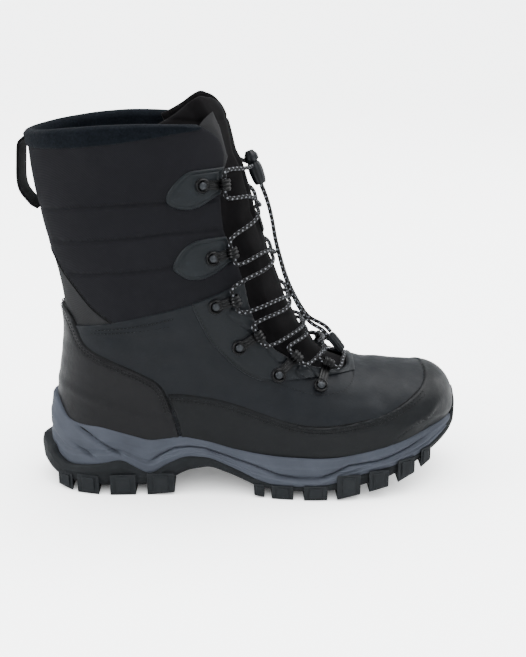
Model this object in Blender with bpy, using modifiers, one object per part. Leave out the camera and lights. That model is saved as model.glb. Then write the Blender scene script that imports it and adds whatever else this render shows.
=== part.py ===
"""Lace-up snow boot, right foot, standing on its lugs.

Frame: toe along +X, outer side of the foot at -Y, floor at Z = 0, metres.
The upper is one hollow wall. Its sections run round the boot from the heel to the
front crest, and fan from flat rings in the shaft to the outline of the last.
"""

import functools
import math
from collections import namedtuple

import bmesh
import bpy
import numpy as np
from mathutils import Matrix, Vector

# Driving sizes
SOLE_LENGTH = 0.304
COLLAR_HEIGHT = 0.257
BALL_WIDTH = 0.104
SHAFT_WIDTH = 0.094
WALL = 0.0018
GAP = 0.0003
QUARTER_STEP = 0.001
OVERLAY = 0.0012
ROUNDNESS = 2.15
FEATHER_TUCK = 0.1
TUCK_HEIGHT = 0.018
ANKLE_LOW = 0.058
ANKLE_HIGH = 0.125

# Sections of the upper, from the feather edge up. x is a share of SOLE_LENGTH from the middle
# of the sole, heights and depths are shares of COLLAR_HEIGHT. A depth says how far in from the
# back or the crest the side reaches its full width. Sag bends a section between its two ends.
Section = namedtuple(
    "Section", "back_x back_z front_x front_z back_depth front_depth sag sag_power"
)
SECTIONS = [
    Section(-0.430, 0.105, 0.457, 0.140, 0.165, 0.185, -0.050, 2.0),
    Section(-0.450, 0.155, 0.483, 0.178, 0.170, 0.180, -0.045, 2.0),
    Section(-0.451, 0.210, 0.487, 0.214, 0.175, 0.172, -0.034, 1.8),
    Section(-0.447, 0.262, 0.478, 0.254, 0.180, 0.160, -0.020, 1.5),
    Section(-0.442, 0.298, 0.455, 0.284, 0.182, 0.145, -0.010, 1.2),
    Section(-0.439, 0.325, 0.418, 0.300, 0.185, 0.136, -0.004, 1.0),
    Section(-0.436, 0.348, 0.366, 0.307, 0.188, 0.136, 0.000, 1.0),
    Section(-0.433, 0.368, 0.306, 0.314, 0.192, 0.140, 0.000, 1.0),
    Section(-0.431, 0.388, 0.247, 0.327, 0.198, 0.152, -0.003, 1.0),
    Section(-0.429, 0.407, 0.190, 0.354, 0.205, 0.172, -0.006, 1.0),
    Section(-0.427, 0.426, 0.138, 0.404, 0.212, 0.195, -0.010, 1.0),
    Section(-0.426, 0.445, 0.090, 0.500, 0.222, 0.220, -0.015, 1.0),
    Section(-0.426, 0.463, 0.050, 0.625, 0.235, 0.242, -0.019, 1.0),
    Section(-0.430, 0.530, 0.028, 0.705, 0.248, 0.255, -0.018, 1.0),
    Section(-0.441, 0.610, 0.011, 0.775, 0.256, 0.262, -0.012, 1.0),
    Section(-0.458, 0.700, -0.005, 0.840, 0.262, 0.266, -0.004, 1.0),
    Section(-0.473, 0.790, -0.018, 0.898, 0.265, 0.267, 0.006, 1.0),
    Section(-0.484, 0.882, -0.028, 0.947, 0.267, 0.267, 0.013, 1.0),
    Section(-0.491, 0.972, -0.037, 0.992, 0.267, 0.267, 0.020, 1.0),
    Section(-0.496, 1.050, -0.051, 1.040, 0.267, 0.267, 0.022, 1.0),
    Section(-0.500, 1.120, -0.072, 1.082, 0.267, 0.267, 0.022, 1.0),
]
FEATHER = 0.0
LAST_TOP = 8.0
QUARTER_TOP = 12.0
STEP_RISE = 0.08
RIM = 18.0

# Half width of the foot: x as a share of SOLE_LENGTH, the rest as shares of BALL_WIDTH.
# The toe leans to the inner side of the foot.
FootWidth = namedtuple("FootWidth", "x outer inner centre")
FOOT = [
    FootWidth(-0.500, 0.300, 0.300, 0.000),
    FootWidth(-0.362, 0.345, 0.335, 0.000),
    FootWidth(-0.230, 0.362, 0.332, 0.000),
    FootWidth(-0.100, 0.388, 0.342, 0.000),
    FootWidth(0.033, 0.446, 0.412, 0.000),
    FootWidth(0.148, 0.498, 0.486, 0.008),
    FootWidth(0.263, 0.494, 0.484, 0.026),
    FootWidth(0.362, 0.464, 0.452, 0.050),
    FootWidth(0.500, 0.400, 0.384, 0.080),
]
# Half width of the shaft as a share of SHAFT_WIDTH, at shares of COLLAR_HEIGHT.
SHAFT = [(0.40, 0.455), (0.60, 0.472), (0.80, 0.488), (1.00, 0.500), (1.20, 0.500)]

# Edge of the throat, drawn on the side of the boot from the rim down and forward to its round
# end: x as a share of SOLE_LENGTH, z of COLLAR_HEIGHT. All in front of it is open.
THROAT_EDGE = [
    (-0.140, 1.030), (-0.100, 1.000), (-0.077, 0.981), (-0.063, 0.965), (-0.055, 0.946),
    (-0.050, 0.921), (-0.052, 0.897), (-0.058, 0.878), (-0.061, 0.823), (-0.059, 0.773),
    (-0.055, 0.734), (-0.042, 0.688), (-0.026, 0.647), (-0.015, 0.605), (-0.004, 0.540),
    (0.008, 0.496), (0.019, 0.463), (0.034, 0.433), (0.057, 0.405), (0.092, 0.376),
    (0.122, 0.358), (0.150, 0.345), (0.181, 0.333), (0.210, 0.326), (0.228, 0.328),
    (0.237, 0.337), (0.242, 0.352), (0.246, 0.420),
]
THROAT_FRONT = [(0.400, 0.600), (0.400, 1.300), (-0.140, 1.300)]
UPPER_ROWS = [
    FEATHER, 0.9, 1.9, 2.9, 4.0, 5.2, 6.6, LAST_TOP, 9.0, 10.0, 11.0,
    QUARTER_TOP, QUARTER_TOP + STEP_RISE, 13.4, 15.0, 16.6, 17.3, RIM,
]
UPPER_COLUMNS = 12
TURN_WEIGHT = 0.03

# Padded collar inside the shaft, and the tongue behind the throat.
COLLAR_FROM = 16.3
COLLAR_PAD = 0.0042
COLLAR_BACK = 0.016
# The tongue gives way to the collar's pad over these sections, and this fast behind its edge.
PAD_BELOW = 1.6
PAD_OVER = 1.2
PAD_RAMP = -2.5
TONGUE_PAD = 0.0042
TONGUE_CLEAR = 0.0011
TONGUE_BULGE = 0.0012
TONGUE_EDGE = 0.0042
TONGUE_RISE = 0.008
TONGUE_COLUMNS = 7
# Half width of the tongue as a share of SHAFT_WIDTH along the surface, and its rows.
TONGUE = [(7.2, 0.42), (8.0, 0.52), (9.0, 0.58), (10.5, 0.62), (14.0, 0.64), (17.0, 0.72), (20.0, 0.82)]
# Above this section the tongue keeps the same bulge.
TONGUE_SAME = 17.0
TONGUE_ROWS = [7.2, 8.0, 8.8, 9.6, 10.4, 11.2, 12.0, 13.2, 14.6, 16.0, TONGUE_SAME, 18.0, 18.8, 19.6]
# The tongue's top, drawn on the side of the boot: it slopes down to the collar at its sides.
TONGUE_OUTLINE = [
    (-0.300, 0.930), (-0.204, 1.000), (-0.160, 1.026), (-0.125, 1.052), (-0.100, 1.073),
    (-0.080, 1.076), (-0.064, 1.064), (-0.052, 1.046), (0.000, 1.030), (0.400, 0.700),
    (0.400, 0.200), (-0.300, 0.200),
]

# Side of the sole: x as a share of SOLE_LENGTH, heights as shares of COLLAR_HEIGHT.
SoleEdge = namedtuple("SoleEdge", "x foam_top foam_bottom tread_base ground")
SOLE = [
    SoleEdge(-0.500, 0.250, 0.105, 0.045, 0.030),
    SoleEdge(-0.462, 0.252, 0.084, 0.030, 0.012),
    SoleEdge(-0.440, 0.206, 0.066, 0.026, 0.004),
    SoleEdge(-0.415, 0.194, 0.066, 0.023, 0.000),
    SoleEdge(-0.345, 0.192, 0.080, 0.021, 0.000),
    SoleEdge(-0.300, 0.179, 0.098, 0.021, 0.000),
    SoleEdge(-0.262, 0.165, 0.070, 0.021, 0.000),
    SoleEdge(-0.232, 0.153, 0.050, 0.024, 0.000),
    SoleEdge(-0.200, 0.160, 0.080, 0.030, 0.000),
    SoleEdge(-0.150, 0.167, 0.110, 0.066, 0.016),
    SoleEdge(-0.095, 0.155, 0.108, 0.080, 0.040),
    SoleEdge(-0.040, 0.134, 0.080, 0.056, 0.026),
    SoleEdge(0.015, 0.122, 0.046, 0.026, 0.004),
    SoleEdge(0.060, 0.117, 0.031, 0.018, 0.000),
    SoleEdge(0.160, 0.114, 0.034, 0.018, 0.000),
    SoleEdge(0.205, 0.116, 0.046, 0.022, 0.004),
    SoleEdge(0.260, 0.126, 0.066, 0.032, 0.018),
    SoleEdge(0.330, 0.144, 0.082, 0.052, 0.036),
    SoleEdge(0.400, 0.163, 0.100, 0.082, 0.066),
    SoleEdge(0.450, 0.172, 0.130, 0.110, 0.094),
    SoleEdge(0.500, 0.182, 0.160, 0.150, 0.135),
]
# How far the sole stands out from the upper, at shares of the way from heel to toe.
SoleMargin = namedtuple("SoleMargin", "way foam rubber")
MARGINS = [
    SoleMargin(0.00, 0.0065, 0.0145),
    SoleMargin(0.10, 0.0058, 0.0092),
    SoleMargin(0.20, 0.0050, 0.0058),
    SoleMargin(0.60, 0.0050, 0.0054),
    SoleMargin(0.85, 0.0045, 0.0052),
    SoleMargin(0.94, 0.0020, 0.0042),
    SoleMargin(1.00, 0.0006, 0.0036),
]
SOLE_COLUMNS = 16
SOLE_SECTION = 1.4
# Ribs of the foam's side: share of its height, and how far that line stands out.
FOAM_SIDE = [
    (0.00, -0.0010), (0.14, 0.0004), (0.30, 0.0006), (0.34, -0.0014), (0.43, -0.0014),
    (0.47, 0.0004), (0.68, 0.0000), (0.73, -0.0016), (1.00, -0.0022),
]
# The same side without its ribs, for the rubber that is cut round it.
FOAM_HULL = [(0.00, -0.0010), (0.14, 0.0006), (0.72, 0.0006), (1.00, -0.0012)]
RUBBER_SIDE = [(0.00, -0.0030), (0.25, -0.0008), (0.70, 0.0000), (1.00, -0.0012)]
# The rubber's top edge rises into bumpers at the heel and the toe: way, and share of COLLAR_HEIGHT.
BUMPERS = [
    (0.00, 0.120), (0.05, 0.112), (0.10, 0.0), (0.90, 0.0), (0.955, 0.170), (0.975, 0.225),
    (1.00, 0.238),
]

# Lugs along both edges: where each starts and ends as shares of SOLE_LENGTH, the top of its side
# as a share of COLLAR_HEIGHT, and how far it stands out.
EdgeLug = namedtuple("EdgeLug", "start end top proud")
EDGE_LUGS = [
    EdgeLug(-0.452, -0.416, 0.050, 0.0005),
    EdgeLug(-0.404, -0.352, 0.055, 0.0012),
    EdgeLug(-0.326, -0.266, 0.060, 0.0016),
    EdgeLug(-0.240, -0.176, 0.064, 0.0016),
    EdgeLug(0.008, 0.032, 0.040, 0.0008),
    EdgeLug(0.048, 0.098, 0.040, 0.0016),
    EdgeLug(0.122, 0.176, 0.042, 0.0020),
    EdgeLug(0.198, 0.252, 0.074, 0.0030),
    EdgeLug(0.272, 0.318, 0.082, 0.0034),
    EdgeLug(0.340, 0.382, 0.104, 0.0034),
    EdgeLug(0.398, 0.424, 0.120, 0.0028),
]
LUG_DEPTH = 0.46
LUG_SINK = 0.0022
# Lugs in the middle of the tread: middle x and y as shares of SOLE_LENGTH and BALL_WIDTH.
MiddleLug = namedtuple("MiddleLug", "x y long wide turn")
MIDDLE_LUGS = [
    MiddleLug(-0.385, 0.00, 0.030, 0.22, 0),
    MiddleLug(-0.325, 0.00, 0.026, 0.26, 0),
    MiddleLug(-0.265, 0.00, 0.026, 0.26, 0),
    MiddleLug(-0.210, 0.00, 0.026, 0.22, 0),
    MiddleLug(0.040, 0.00, 0.028, 0.26, 0),
    MiddleLug(0.090, 0.11, 0.028, 0.17, 25),
    MiddleLug(0.090, -0.10, 0.028, 0.17, -25),
    MiddleLug(0.145, 0.12, 0.028, 0.18, 25),
    MiddleLug(0.145, -0.11, 0.028, 0.18, -25),
    MiddleLug(0.205, 0.12, 0.028, 0.18, 25),
    MiddleLug(0.205, -0.10, 0.028, 0.18, -25),
    MiddleLug(0.265, 0.13, 0.026, 0.16, 25),
    MiddleLug(0.265, -0.08, 0.026, 0.16, -25),
    MiddleLug(0.325, 0.03, 0.024, 0.28, 0),
    MiddleLug(0.372, 0.04, 0.022, 0.24, 0),
]

INSOLE_THICK = 0.004
INSOLE_CLEAR = 0.0006

# Overlays, drawn on the side of the boot: x as a share of SOLE_LENGTH, z of COLLAR_HEIGHT.
COUNTER_OUTLINE = [
    (-0.52, 0.512), (-0.431, 0.512), (-0.414, 0.504), (-0.399, 0.488), (-0.389, 0.462),
    (-0.379, 0.436), (-0.366, 0.414), (-0.326, 0.392), (-0.270, 0.362), (-0.236, 0.340),
    (-0.214, 0.325), (-0.200, 0.306), (-0.190, 0.279), (-0.180, 0.243), (-0.168, 0.200),
    (-0.155, 0.120), (-0.155, 0.060), (-0.52, 0.060),
]
RAND_OUTLINE = [
    (-0.187, 0.286), (-0.170, 0.288), (-0.136, 0.286), (-0.080, 0.277), (-0.023, 0.259),
    (0.044, 0.232), (0.112, 0.209), (0.180, 0.205), (0.250, 0.214), (0.309, 0.227),
    (0.358, 0.249), (0.398, 0.274), (0.419, 0.300), (0.424, 0.400), (0.540, 0.400),
    (0.540, 0.060), (-0.152, 0.060), (-0.152, 0.120), (-0.165, 0.200), (-0.177, 0.245),
]
EYESTAY_OUTLINE = [
    (-0.128, 0.566), (-0.128, 0.537), (-0.117, 0.507), (-0.104, 0.474), (-0.089, 0.439),
    (-0.067, 0.410), (-0.045, 0.380), (-0.022, 0.358), (0.000, 0.341), (0.034, 0.326),
    (0.057, 0.317), (0.092, 0.299), (0.127, 0.284), (0.151, 0.278), (0.187, 0.275),
    (0.209, 0.277), (0.228, 0.284), (0.241, 0.297), (0.248, 0.312), (0.252, 0.400),
    (0.180, 0.560), (0.060, 0.640), (-0.030, 0.608),
]
PATCHES = {
    "upper": [
        (-0.180, 0.824), (-0.170, 0.849), (-0.152, 0.872), (-0.135, 0.887), (-0.118, 0.893),
        (0.020, 0.894), (0.020, 0.826), (-0.061, 0.828), (-0.078, 0.817), (-0.095, 0.805),
        (-0.117, 0.794), (-0.138, 0.792), (-0.160, 0.798), (-0.175, 0.808),
    ],
    "lower": [
        (-0.170, 0.641), (-0.160, 0.668), (-0.147, 0.689), (-0.129, 0.707), (-0.096, 0.718),
        (0.050, 0.718), (0.050, 0.662), (-0.036, 0.656), (-0.054, 0.640), (-0.076, 0.622),
        (-0.098, 0.611), (-0.120, 0.609), (-0.142, 0.613), (-0.159, 0.628),
    ],
}
PATCH = 0.001

# Lace hooks of one side, from the top: the rivet's place, and the place of the loop over the
# throat's edge. What the hook is riveted to says how high it stands.
Hook = namedtuple("Hook", "x z loop_x loop_z base")
HOOKS = [
    Hook(-0.103, 0.852, -0.061, 0.850, "patch"),
    Hook(-0.082, 0.664, -0.043, 0.676, "patch"),
    Hook(-0.076, 0.538, -0.037, 0.552, "eyestay"),
    Hook(-0.025, 0.424, 0.014, 0.451, "eyestay"),
    Hook(0.063, 0.341, 0.097, 0.377, "eyestay"),
    Hook(0.158, 0.303, 0.172, 0.338, "eyestay"),
]
LACE = 0.0027
RIVET_RADIUS = 0.0046
RIVET_TOP = 0.0034
RIVET_HEIGHT = 0.0022
RIVET_SIDES = 8
HOOK_PLATE = 0.0010
HOOK_RAISE = 0.0008
LOOP_WIDE = 0.0076
LOOP_BORE = LACE / 2 + 0.0011
LOOP_TURN = 300
LOOP_STEPS = 5

# The lace: section numbers where its two strands cross over the tongue, from the top, and how
# far its middle lies over the surface there.
Crossing = namedtuple("Crossing", "section lift")
CROSSINGS = [
    Crossing(13.9, 0.0033),
    Crossing(12.1, 0.0033),
    Crossing(11.1, 0.0033),
    Crossing(10.4, 0.0033),
    Crossing(9.5, 0.0036),
]
BAR = Crossing(8.6, 0.0046)
FRONT_SECTIONS = [LAST_TOP + 0.1 * k for k in range(91)]
LACE_PAST_LOOP = 0.0042
LACE_STEP = 0.0080
LACE_COUNT = 40
RUN_SHARES = (0.35, 0.70)
LACE_TURN = 0.016

# Cord lock over the tongue, hanging ends and their clip: places in front of the upper, by
# section, distance to the side of the crest, and distance off the surface, in metres.
FrontPlace = namedtuple("FrontPlace", "section aside lift")
LOCK_TOP = FrontPlace(16.07, -0.0010, 0.0074)
LOCK_BOTTOM = FrontPlace(14.70, -0.0020, 0.0093)
LOCK_RADIUS = 0.0052
LOCK_BUTTON = 0.0040
LOCK_BUTTON_HEIGHT = 0.0030
END_A = [
    FrontPlace(14.665, -0.0039, 0.0094), FrontPlace(14.10, -0.0042, 0.0103),
    FrontPlace(13.34, -0.0045, 0.0101), FrontPlace(12.58, -0.0050, 0.0084),
    FrontPlace(11.97, -0.0060, 0.0072), FrontPlace(11.53, -0.0075, 0.0066),
    FrontPlace(11.13, -0.0090, 0.0074), FrontPlace(10.76, -0.0102, 0.0085),
    FrontPlace(10.43, -0.0112, 0.0100), FrontPlace(10.18, -0.0118, 0.0125),
    FrontPlace(9.89, -0.0120, 0.0145), FrontPlace(9.55, -0.0121, 0.0138),
]
END_B = [
    FrontPlace(14.665, -0.0001, 0.0094), FrontPlace(14.08, 0.0000, 0.0102),
    FrontPlace(13.29, -0.0003, 0.0098), FrontPlace(12.52, -0.0010, 0.0081),
    FrontPlace(11.94, -0.0020, 0.0071), FrontPlace(11.50, -0.0035, 0.0066),
    FrontPlace(11.12, -0.0050, 0.0074), FrontPlace(10.78, -0.0062, 0.0086),
    FrontPlace(10.49, -0.0073, 0.0104), FrontPlace(10.26, -0.0079, 0.0135),
    FrontPlace(9.94, -0.0081, 0.0160), FrontPlace(9.52, -0.0082, 0.0155),
]
CLIP_LENGTH = 0.0150
CLIP_RADIUS = 0.0036
CLIP_CLEAR = 0.0006

# Lace keeper on the tongue.
KEEPER_SECTIONS = (13.55, 12.95)
KEEPER_HALF = 0.0080
KEEPER_COLUMNS = 6
KEEPER_THICK = 0.0012

# Pull loop at the back: places up the back as shares of COLLAR_HEIGHT, and how far the middle of
# its strap stands off there, in metres.
LoopPoint = namedtuple("LoopPoint", "z off")
PULL_LOOP_OUT = [
    LoopPoint(0.775, 0.0012),
    LoopPoint(0.792, 0.0026),
    LoopPoint(0.820, 0.0058),
    LoopPoint(0.855, 0.0076),
    LoopPoint(0.895, 0.0078),
    LoopPoint(0.930, 0.0064),
    LoopPoint(0.952, 0.0036),
    LoopPoint(0.962, 0.0012),
]
PULL_STRAP = 0.0016
PULL_WIDE = 0.020

# Pieces that hang free, left out where the boot is centred on its origin.
LOOSE = ("lace_end_a", "lace_end_b", "lace_clip")

COLOURS = {
    "shaft": (0.020, 0.019, 0.022, 0.75, 0.0),
    "leather": (0.024, 0.027, 0.031, 0.55, 0.0),
    "smooth": (0.026, 0.027, 0.029, 0.5, 0.0),
    "foam": (0.095, 0.105, 0.130, 0.7, 0.0),
    "rubber": (0.038, 0.044, 0.050, 0.8, 0.0),
    "lining": (0.010, 0.013, 0.017, 0.9, 0.0),
    "webbing": (0.018, 0.018, 0.020, 0.8, 0.0),
    "lace": (0.030, 0.030, 0.032, 0.8, 0.0),
    "metal": (0.080, 0.082, 0.086, 0.4, 0.8),
    "plastic": (0.020, 0.020, 0.021, 0.45, 0.0),
}


def clear_scene():
    for obj in list(bpy.data.objects):
        bpy.data.objects.remove(obj, do_unlink=True)
    for block in (bpy.data.meshes, bpy.data.curves, bpy.data.materials):
        for item in list(block):
            block.remove(item)


def collection(name, hidden=False):
    made = bpy.data.collections.new(name)
    made.hide_render = hidden
    bpy.context.scene.collection.children.link(made)
    return made


def material(name):
    found = bpy.data.materials.get(name)
    if found:
        return found
    red, green, blue, roughness, metallic = COLOURS[name]
    made = bpy.data.materials.new(name)
    made.use_nodes = True
    shader = made.node_tree.nodes["Principled BSDF"]
    shader.inputs["Base Color"].default_value = (red, green, blue, 1)
    shader.inputs["Roughness"].default_value = roughness
    shader.inputs["Metallic"].default_value = metallic
    made.diffuse_color = (red, green, blue, 1)
    return made


def spline(knots, values, at):
    """A natural cubic spline through the values, read at the places asked for."""
    x = np.asarray(knots, float)
    y = np.asarray(values, float)
    n = len(x)
    h = np.diff(x)
    matrix = np.eye(n)
    right = np.zeros(n)
    for i in range(1, n - 1):
        matrix[i, i - 1 : i + 2] = h[i - 1], 2 * (h[i - 1] + h[i]), h[i]
        right[i] = 6 * ((y[i + 1] - y[i]) / h[i] - (y[i] - y[i - 1]) / h[i - 1])
    bend = np.linalg.solve(matrix, right)
    at = np.clip(np.asarray(at, float), x[0], x[-1])
    i = np.clip(np.searchsorted(x, at) - 1, 0, n - 2)
    a = (x[i + 1] - at) / h[i]
    b = (at - x[i]) / h[i]
    return a * y[i] + b * y[i + 1] + ((a**3 - a) * bend[i] + (b**3 - b) * bend[i + 1]) * h[i] ** 2 / 6


def smooth(value):
    value = np.clip(value, 0, 1)
    return value * value * (3 - 2 * value)


def dome(share):
    """Rises from 0 at an edge to 1 at full width, as an ellipse does."""
    rest = 1 - np.clip(share, 0, 1)
    return (1 - rest**ROUNDNESS) ** (1 / ROUNDNESS)


def section(v):
    """The section at number v, its lengths in metres."""
    at = range(len(SECTIONS))
    found = [float(spline(at, [getattr(s, name) for s in SECTIONS], v)) for name in Section._fields]
    back_x, back_z, front_x, front_z, back_depth, front_depth, sag, power = found
    return Section(
        back_x * SOLE_LENGTH,
        back_z * COLLAR_HEIGHT,
        front_x * SOLE_LENGTH,
        front_z * COLLAR_HEIGHT,
        back_depth * COLLAR_HEIGHT,
        front_depth * COLLAR_HEIGHT,
        sag * COLLAR_HEIGHT,
        power,
    )


def side_line(v, t):
    """The section seen from the side, at shares t of the way from the back to the crest."""
    s = section(v)
    x = s.back_x + (s.front_x - s.back_x) * t
    z = s.back_z + (s.front_z - s.back_z) * t + s.sag * np.sin(math.pi * t**s.sag_power)
    return x, z


PROFILE = [section(v) for v in np.linspace(0, len(SECTIONS) - 1, 181)]
BACK_Z = np.array([s.back_z for s in PROFILE])
BACK_X = np.array([s.back_x for s in PROFILE])
BACK_DEPTH = np.array([s.back_depth for s in PROFILE])
CREST = np.array([(s.front_x, s.front_z) for s in PROFILE])
CREST_DEPTH = np.array([s.front_depth for s in PROFILE])


def line_distance(x, z, line):
    """Distance to a line, the place along it, and whether the point lies on its front side."""
    point = np.stack([x, z], -1)[:, None, :]
    start, run = line[:-1], np.diff(line, axis=0)
    from_start = point - start
    share = np.clip((from_start * run).sum(-1) / (run * run).sum(-1), 0, 1)
    away = np.linalg.norm(from_start - share[..., None] * run, axis=-1)
    nearest = away.argmin(1)
    rows = np.arange(len(nearest))
    turn = run[nearest, 0] * from_start[rows, nearest, 1] - run[nearest, 1] * from_start[rows, nearest, 0]
    return away[rows, nearest], nearest + share[rows, nearest], turn > 0


def inside_throat(x, z):
    """How far in front of the throat's edge a point lies, seen from the side; below 0 behind it."""
    away, _, front = line_distance(x, z, np.array(THROAT_EDGE) * (SOLE_LENGTH, COLLAR_HEIGHT))
    return np.where(front, away, -away)


def foot(x, column):
    knots = [row.x * SOLE_LENGTH for row in FOOT]
    return spline(knots, [getattr(row, column) * BALL_WIDTH for row in FOOT], x)


def half_width(x, z, side):
    """How far the upper's surface stands from its middle line, seen from the side at (x, z)."""
    shaft = spline([h * COLLAR_HEIGHT for h, _ in SHAFT], [w * SHAFT_WIDTH for _, w in SHAFT], z)
    rise = smooth((z - ANKLE_LOW) / (ANKLE_HIGH - ANKLE_LOW))
    full = foot(x, "outer" if side < 0 else "inner") * (1 - rise) + shaft * rise
    feather_x, feather_z = side_line(FEATHER, np.linspace(0, 1, 60))
    over = (z - np.interp(x, feather_x, feather_z)) / TUCK_HEIGHT
    tuck = 1 - FEATHER_TUCK * (1 - np.clip(over, 0, 1)) ** 2
    back = (x - np.interp(z, BACK_Z, BACK_X)) / np.interp(z, BACK_Z, BACK_DEPTH)
    away, place, _ = line_distance(x, z, CREST)
    depth = np.interp(place, np.arange(len(CREST)), CREST_DEPTH)
    return full * tuck * dome(back) * dome(away / depth)


def half_ring(v, side):
    """Fine points from the back to the crest on one side."""
    t = (1 - np.cos(np.linspace(0, math.pi, 220))) / 2
    x, z = side_line(v, t)
    width = half_width(x, z, side)
    width[0] = width[-1] = 0.0
    return np.stack([x, foot(x, "centre") + side * width, z], 1)


def spaced(points, count, turn_weight=TURN_WEIGHT):
    """The line again with count steps, closer together where it turns."""
    step = np.diff(points, axis=0)
    length = np.linalg.norm(step, axis=1)
    way = step / np.maximum(length, 1e-9)[:, None]
    turn = np.concatenate([[0], np.arccos(np.clip((way[1:] * way[:-1]).sum(1), -1, 1))])
    along = np.concatenate([[0], np.cumsum(length + turn_weight * turn)])
    at = np.linspace(0, along[-1], count + 1)
    return np.stack([np.interp(at, along, points[:, k]) for k in range(3)], 1)


def ring(v, columns=UPPER_COLUMNS):
    """Points from the crest along the outer side, round the back and along the inner side."""
    outer = spaced(half_ring(v, -1), columns)
    inner = spaced(half_ring(v, 1), columns)
    return np.concatenate([outer[::-1], inner[1:]])


def normals(rows):
    """Outward unit normals of a grid of rings."""
    along = np.gradient(rows, axis=0)
    round_it = np.gradient(rows, axis=1)
    for j, row in enumerate(rows):
        if np.linalg.norm(row[0] - row[-1]) < 1e-6:
            round_it[j, 0] = round_it[j, -1] = row[1] - row[-2]
    found = np.cross(round_it, along)
    found /= np.maximum(np.linalg.norm(found, axis=2, keepdims=True), 1e-12)
    if (found * (rows - rows.mean(axis=1, keepdims=True))).sum() < 0:
        found = -found
    return found


def lifted_rows(numbers, lift):
    """Rings at these section numbers, lifted off the upper's surface.

    Their normals come from all of the upper's rows, so that sheets on each other stay parallel.
    """
    rows = np.array([ring(v) for v in UPPER_ROWS])
    out = normals(rows)
    out[0, :, 2] = 0.0
    out[0] /= np.linalg.norm(out[0], axis=1, keepdims=True)
    moved = rows + out * np.array([lift(v) for v in UPPER_ROWS])[:, None, None]
    return moved[[UPPER_ROWS.index(v) for v in numbers]]


def base_lift(v):
    """The quarter and vamp lap over the shaft by a step."""
    return QUARTER_STEP if v < QUARTER_TOP + STEP_RISE / 2 else 0.0


def net(rows, closed):
    """Triangles between rows of points, every square cut along the same diagonal."""
    count, across = rows.shape[:2]
    faces = []
    for j in range(count - 1):
        for i in range(across if closed else across - 1):
            k = (i + 1) % across
            low, high = j * across, (j + 1) * across
            faces += [(low + i, low + k, high + k), (low + i, high + k, high + i)]
    return faces


def lid(start, across):
    """Triangles that close a ring of points, in strips from its outer to its inner side."""
    half = across // 2
    faces = []
    for i in range(half):
        a, b = start + i, start + i + 1
        c, d = start + (across - i - 1) % across, start + (across - i) % across
        if i < half - 1:
            faces.append((a, b, c))
        if i > 0:
            faces.append((a, c, d) if i < half - 1 else (a, b, d))
    return faces


def wall_mesh(name, outer, inner):
    """A closed wall between two surfaces whose points match, row by row."""
    count, across = outer.shape[:2]
    index = np.arange(count * across).reshape(count, across)
    for j in range(count):
        if np.linalg.norm(outer[j, 0] - outer[j, -1]) < 1e-6:
            index[j, -1] = index[j, 0]
    index = index.reshape(-1)
    outside = [tuple(int(index[v]) for v in face) for face in net(outer, False)]
    edges = {(face[k], face[(k + 1) % 3]) for face in outside for k in range(3)}
    inside = len(index)
    faces = outside + [(c + inside, b + inside, a + inside) for a, b, c in outside]
    for a, b in sorted(edges):
        if (b, a) not in edges:
            faces += [(b, a, a + inside), (b, a + inside, b + inside)]
    mesh = bpy.data.meshes.new(name)
    points = np.concatenate([outer.reshape(-1, 3), inner.reshape(-1, 3)])
    mesh.from_pydata(points.tolist(), [], faces)
    tidy_mesh(mesh)
    return mesh


def block_mesh(name, rings):
    """A closed block through rings of points, from the heel along the outer side and back."""
    across = rings.shape[1]
    mesh = bpy.data.meshes.new(name)
    faces = net(rings, True) + lid(0, across) + lid((len(rings) - 1) * across, across)
    mesh.from_pydata(rings.reshape(-1, 3).tolist(), [], faces)
    tidy_mesh(mesh)
    return mesh


def tidy_mesh(mesh):
    bm = bmesh.new()
    bm.from_mesh(mesh)
    bmesh.ops.remove_doubles(bm, verts=bm.verts, dist=2e-5)
    bmesh.ops.dissolve_degenerate(bm, dist=1e-6, edges=bm.edges)
    bmesh.ops.recalc_face_normals(bm, faces=bm.faces)
    bm.to_mesh(mesh)
    bm.free()


def add(name, mesh, where, finish=None):
    obj = bpy.data.objects.new(name, mesh)
    where.objects.link(obj)
    if finish:
        mesh.materials.append(material(finish))
        mesh.shade_smooth()
        mesh.set_sharp_from_angle(angle=math.radians(40))
    return obj


def boolean(obj, other, operation):
    made = obj.modifiers.new(other.name, "BOOLEAN")
    made.operation = operation
    made.solver = "EXACT"
    made.object = other
    return made


def hide(obj):
    obj.hide_render = True
    obj.display_type = "WIRE"


def outline_prism(name, outline, y_from, y_to, where):
    """A flat outline drawn on the side of the boot, pushed through from one y to another."""
    curve = bpy.data.curves.new(name, "CURVE")
    curve.dimensions = "2D"
    curve.fill_mode = "BOTH"
    curve.extrude = abs(y_to - y_from) / 2
    line = curve.splines.new("POLY")
    line.points.add(len(outline) - 1)
    for point, (x, z) in zip(line.points, outline):
        point.co = (x * SOLE_LENGTH, z * COLLAR_HEIGHT, 0, 1)
    line.use_cyclic_u = True
    drawn = bpy.data.objects.new(name, curve)
    where.objects.link(drawn)
    upright = Matrix.Rotation(math.pi / 2, 4, "X")
    drawn.matrix_world = Matrix.Translation((0, (y_from + y_to) / 2, 0)) @ upright
    bpy.context.view_layer.update()
    graph = bpy.context.evaluated_depsgraph_get()
    mesh = bpy.data.meshes.new_from_object(drawn.evaluated_get(graph))
    mesh.transform(drawn.matrix_world)
    bpy.data.objects.remove(drawn, do_unlink=True)
    tidy_mesh(mesh)
    made = bpy.data.objects.new(name, mesh)
    where.objects.link(made)
    hide(made)
    return made


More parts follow.
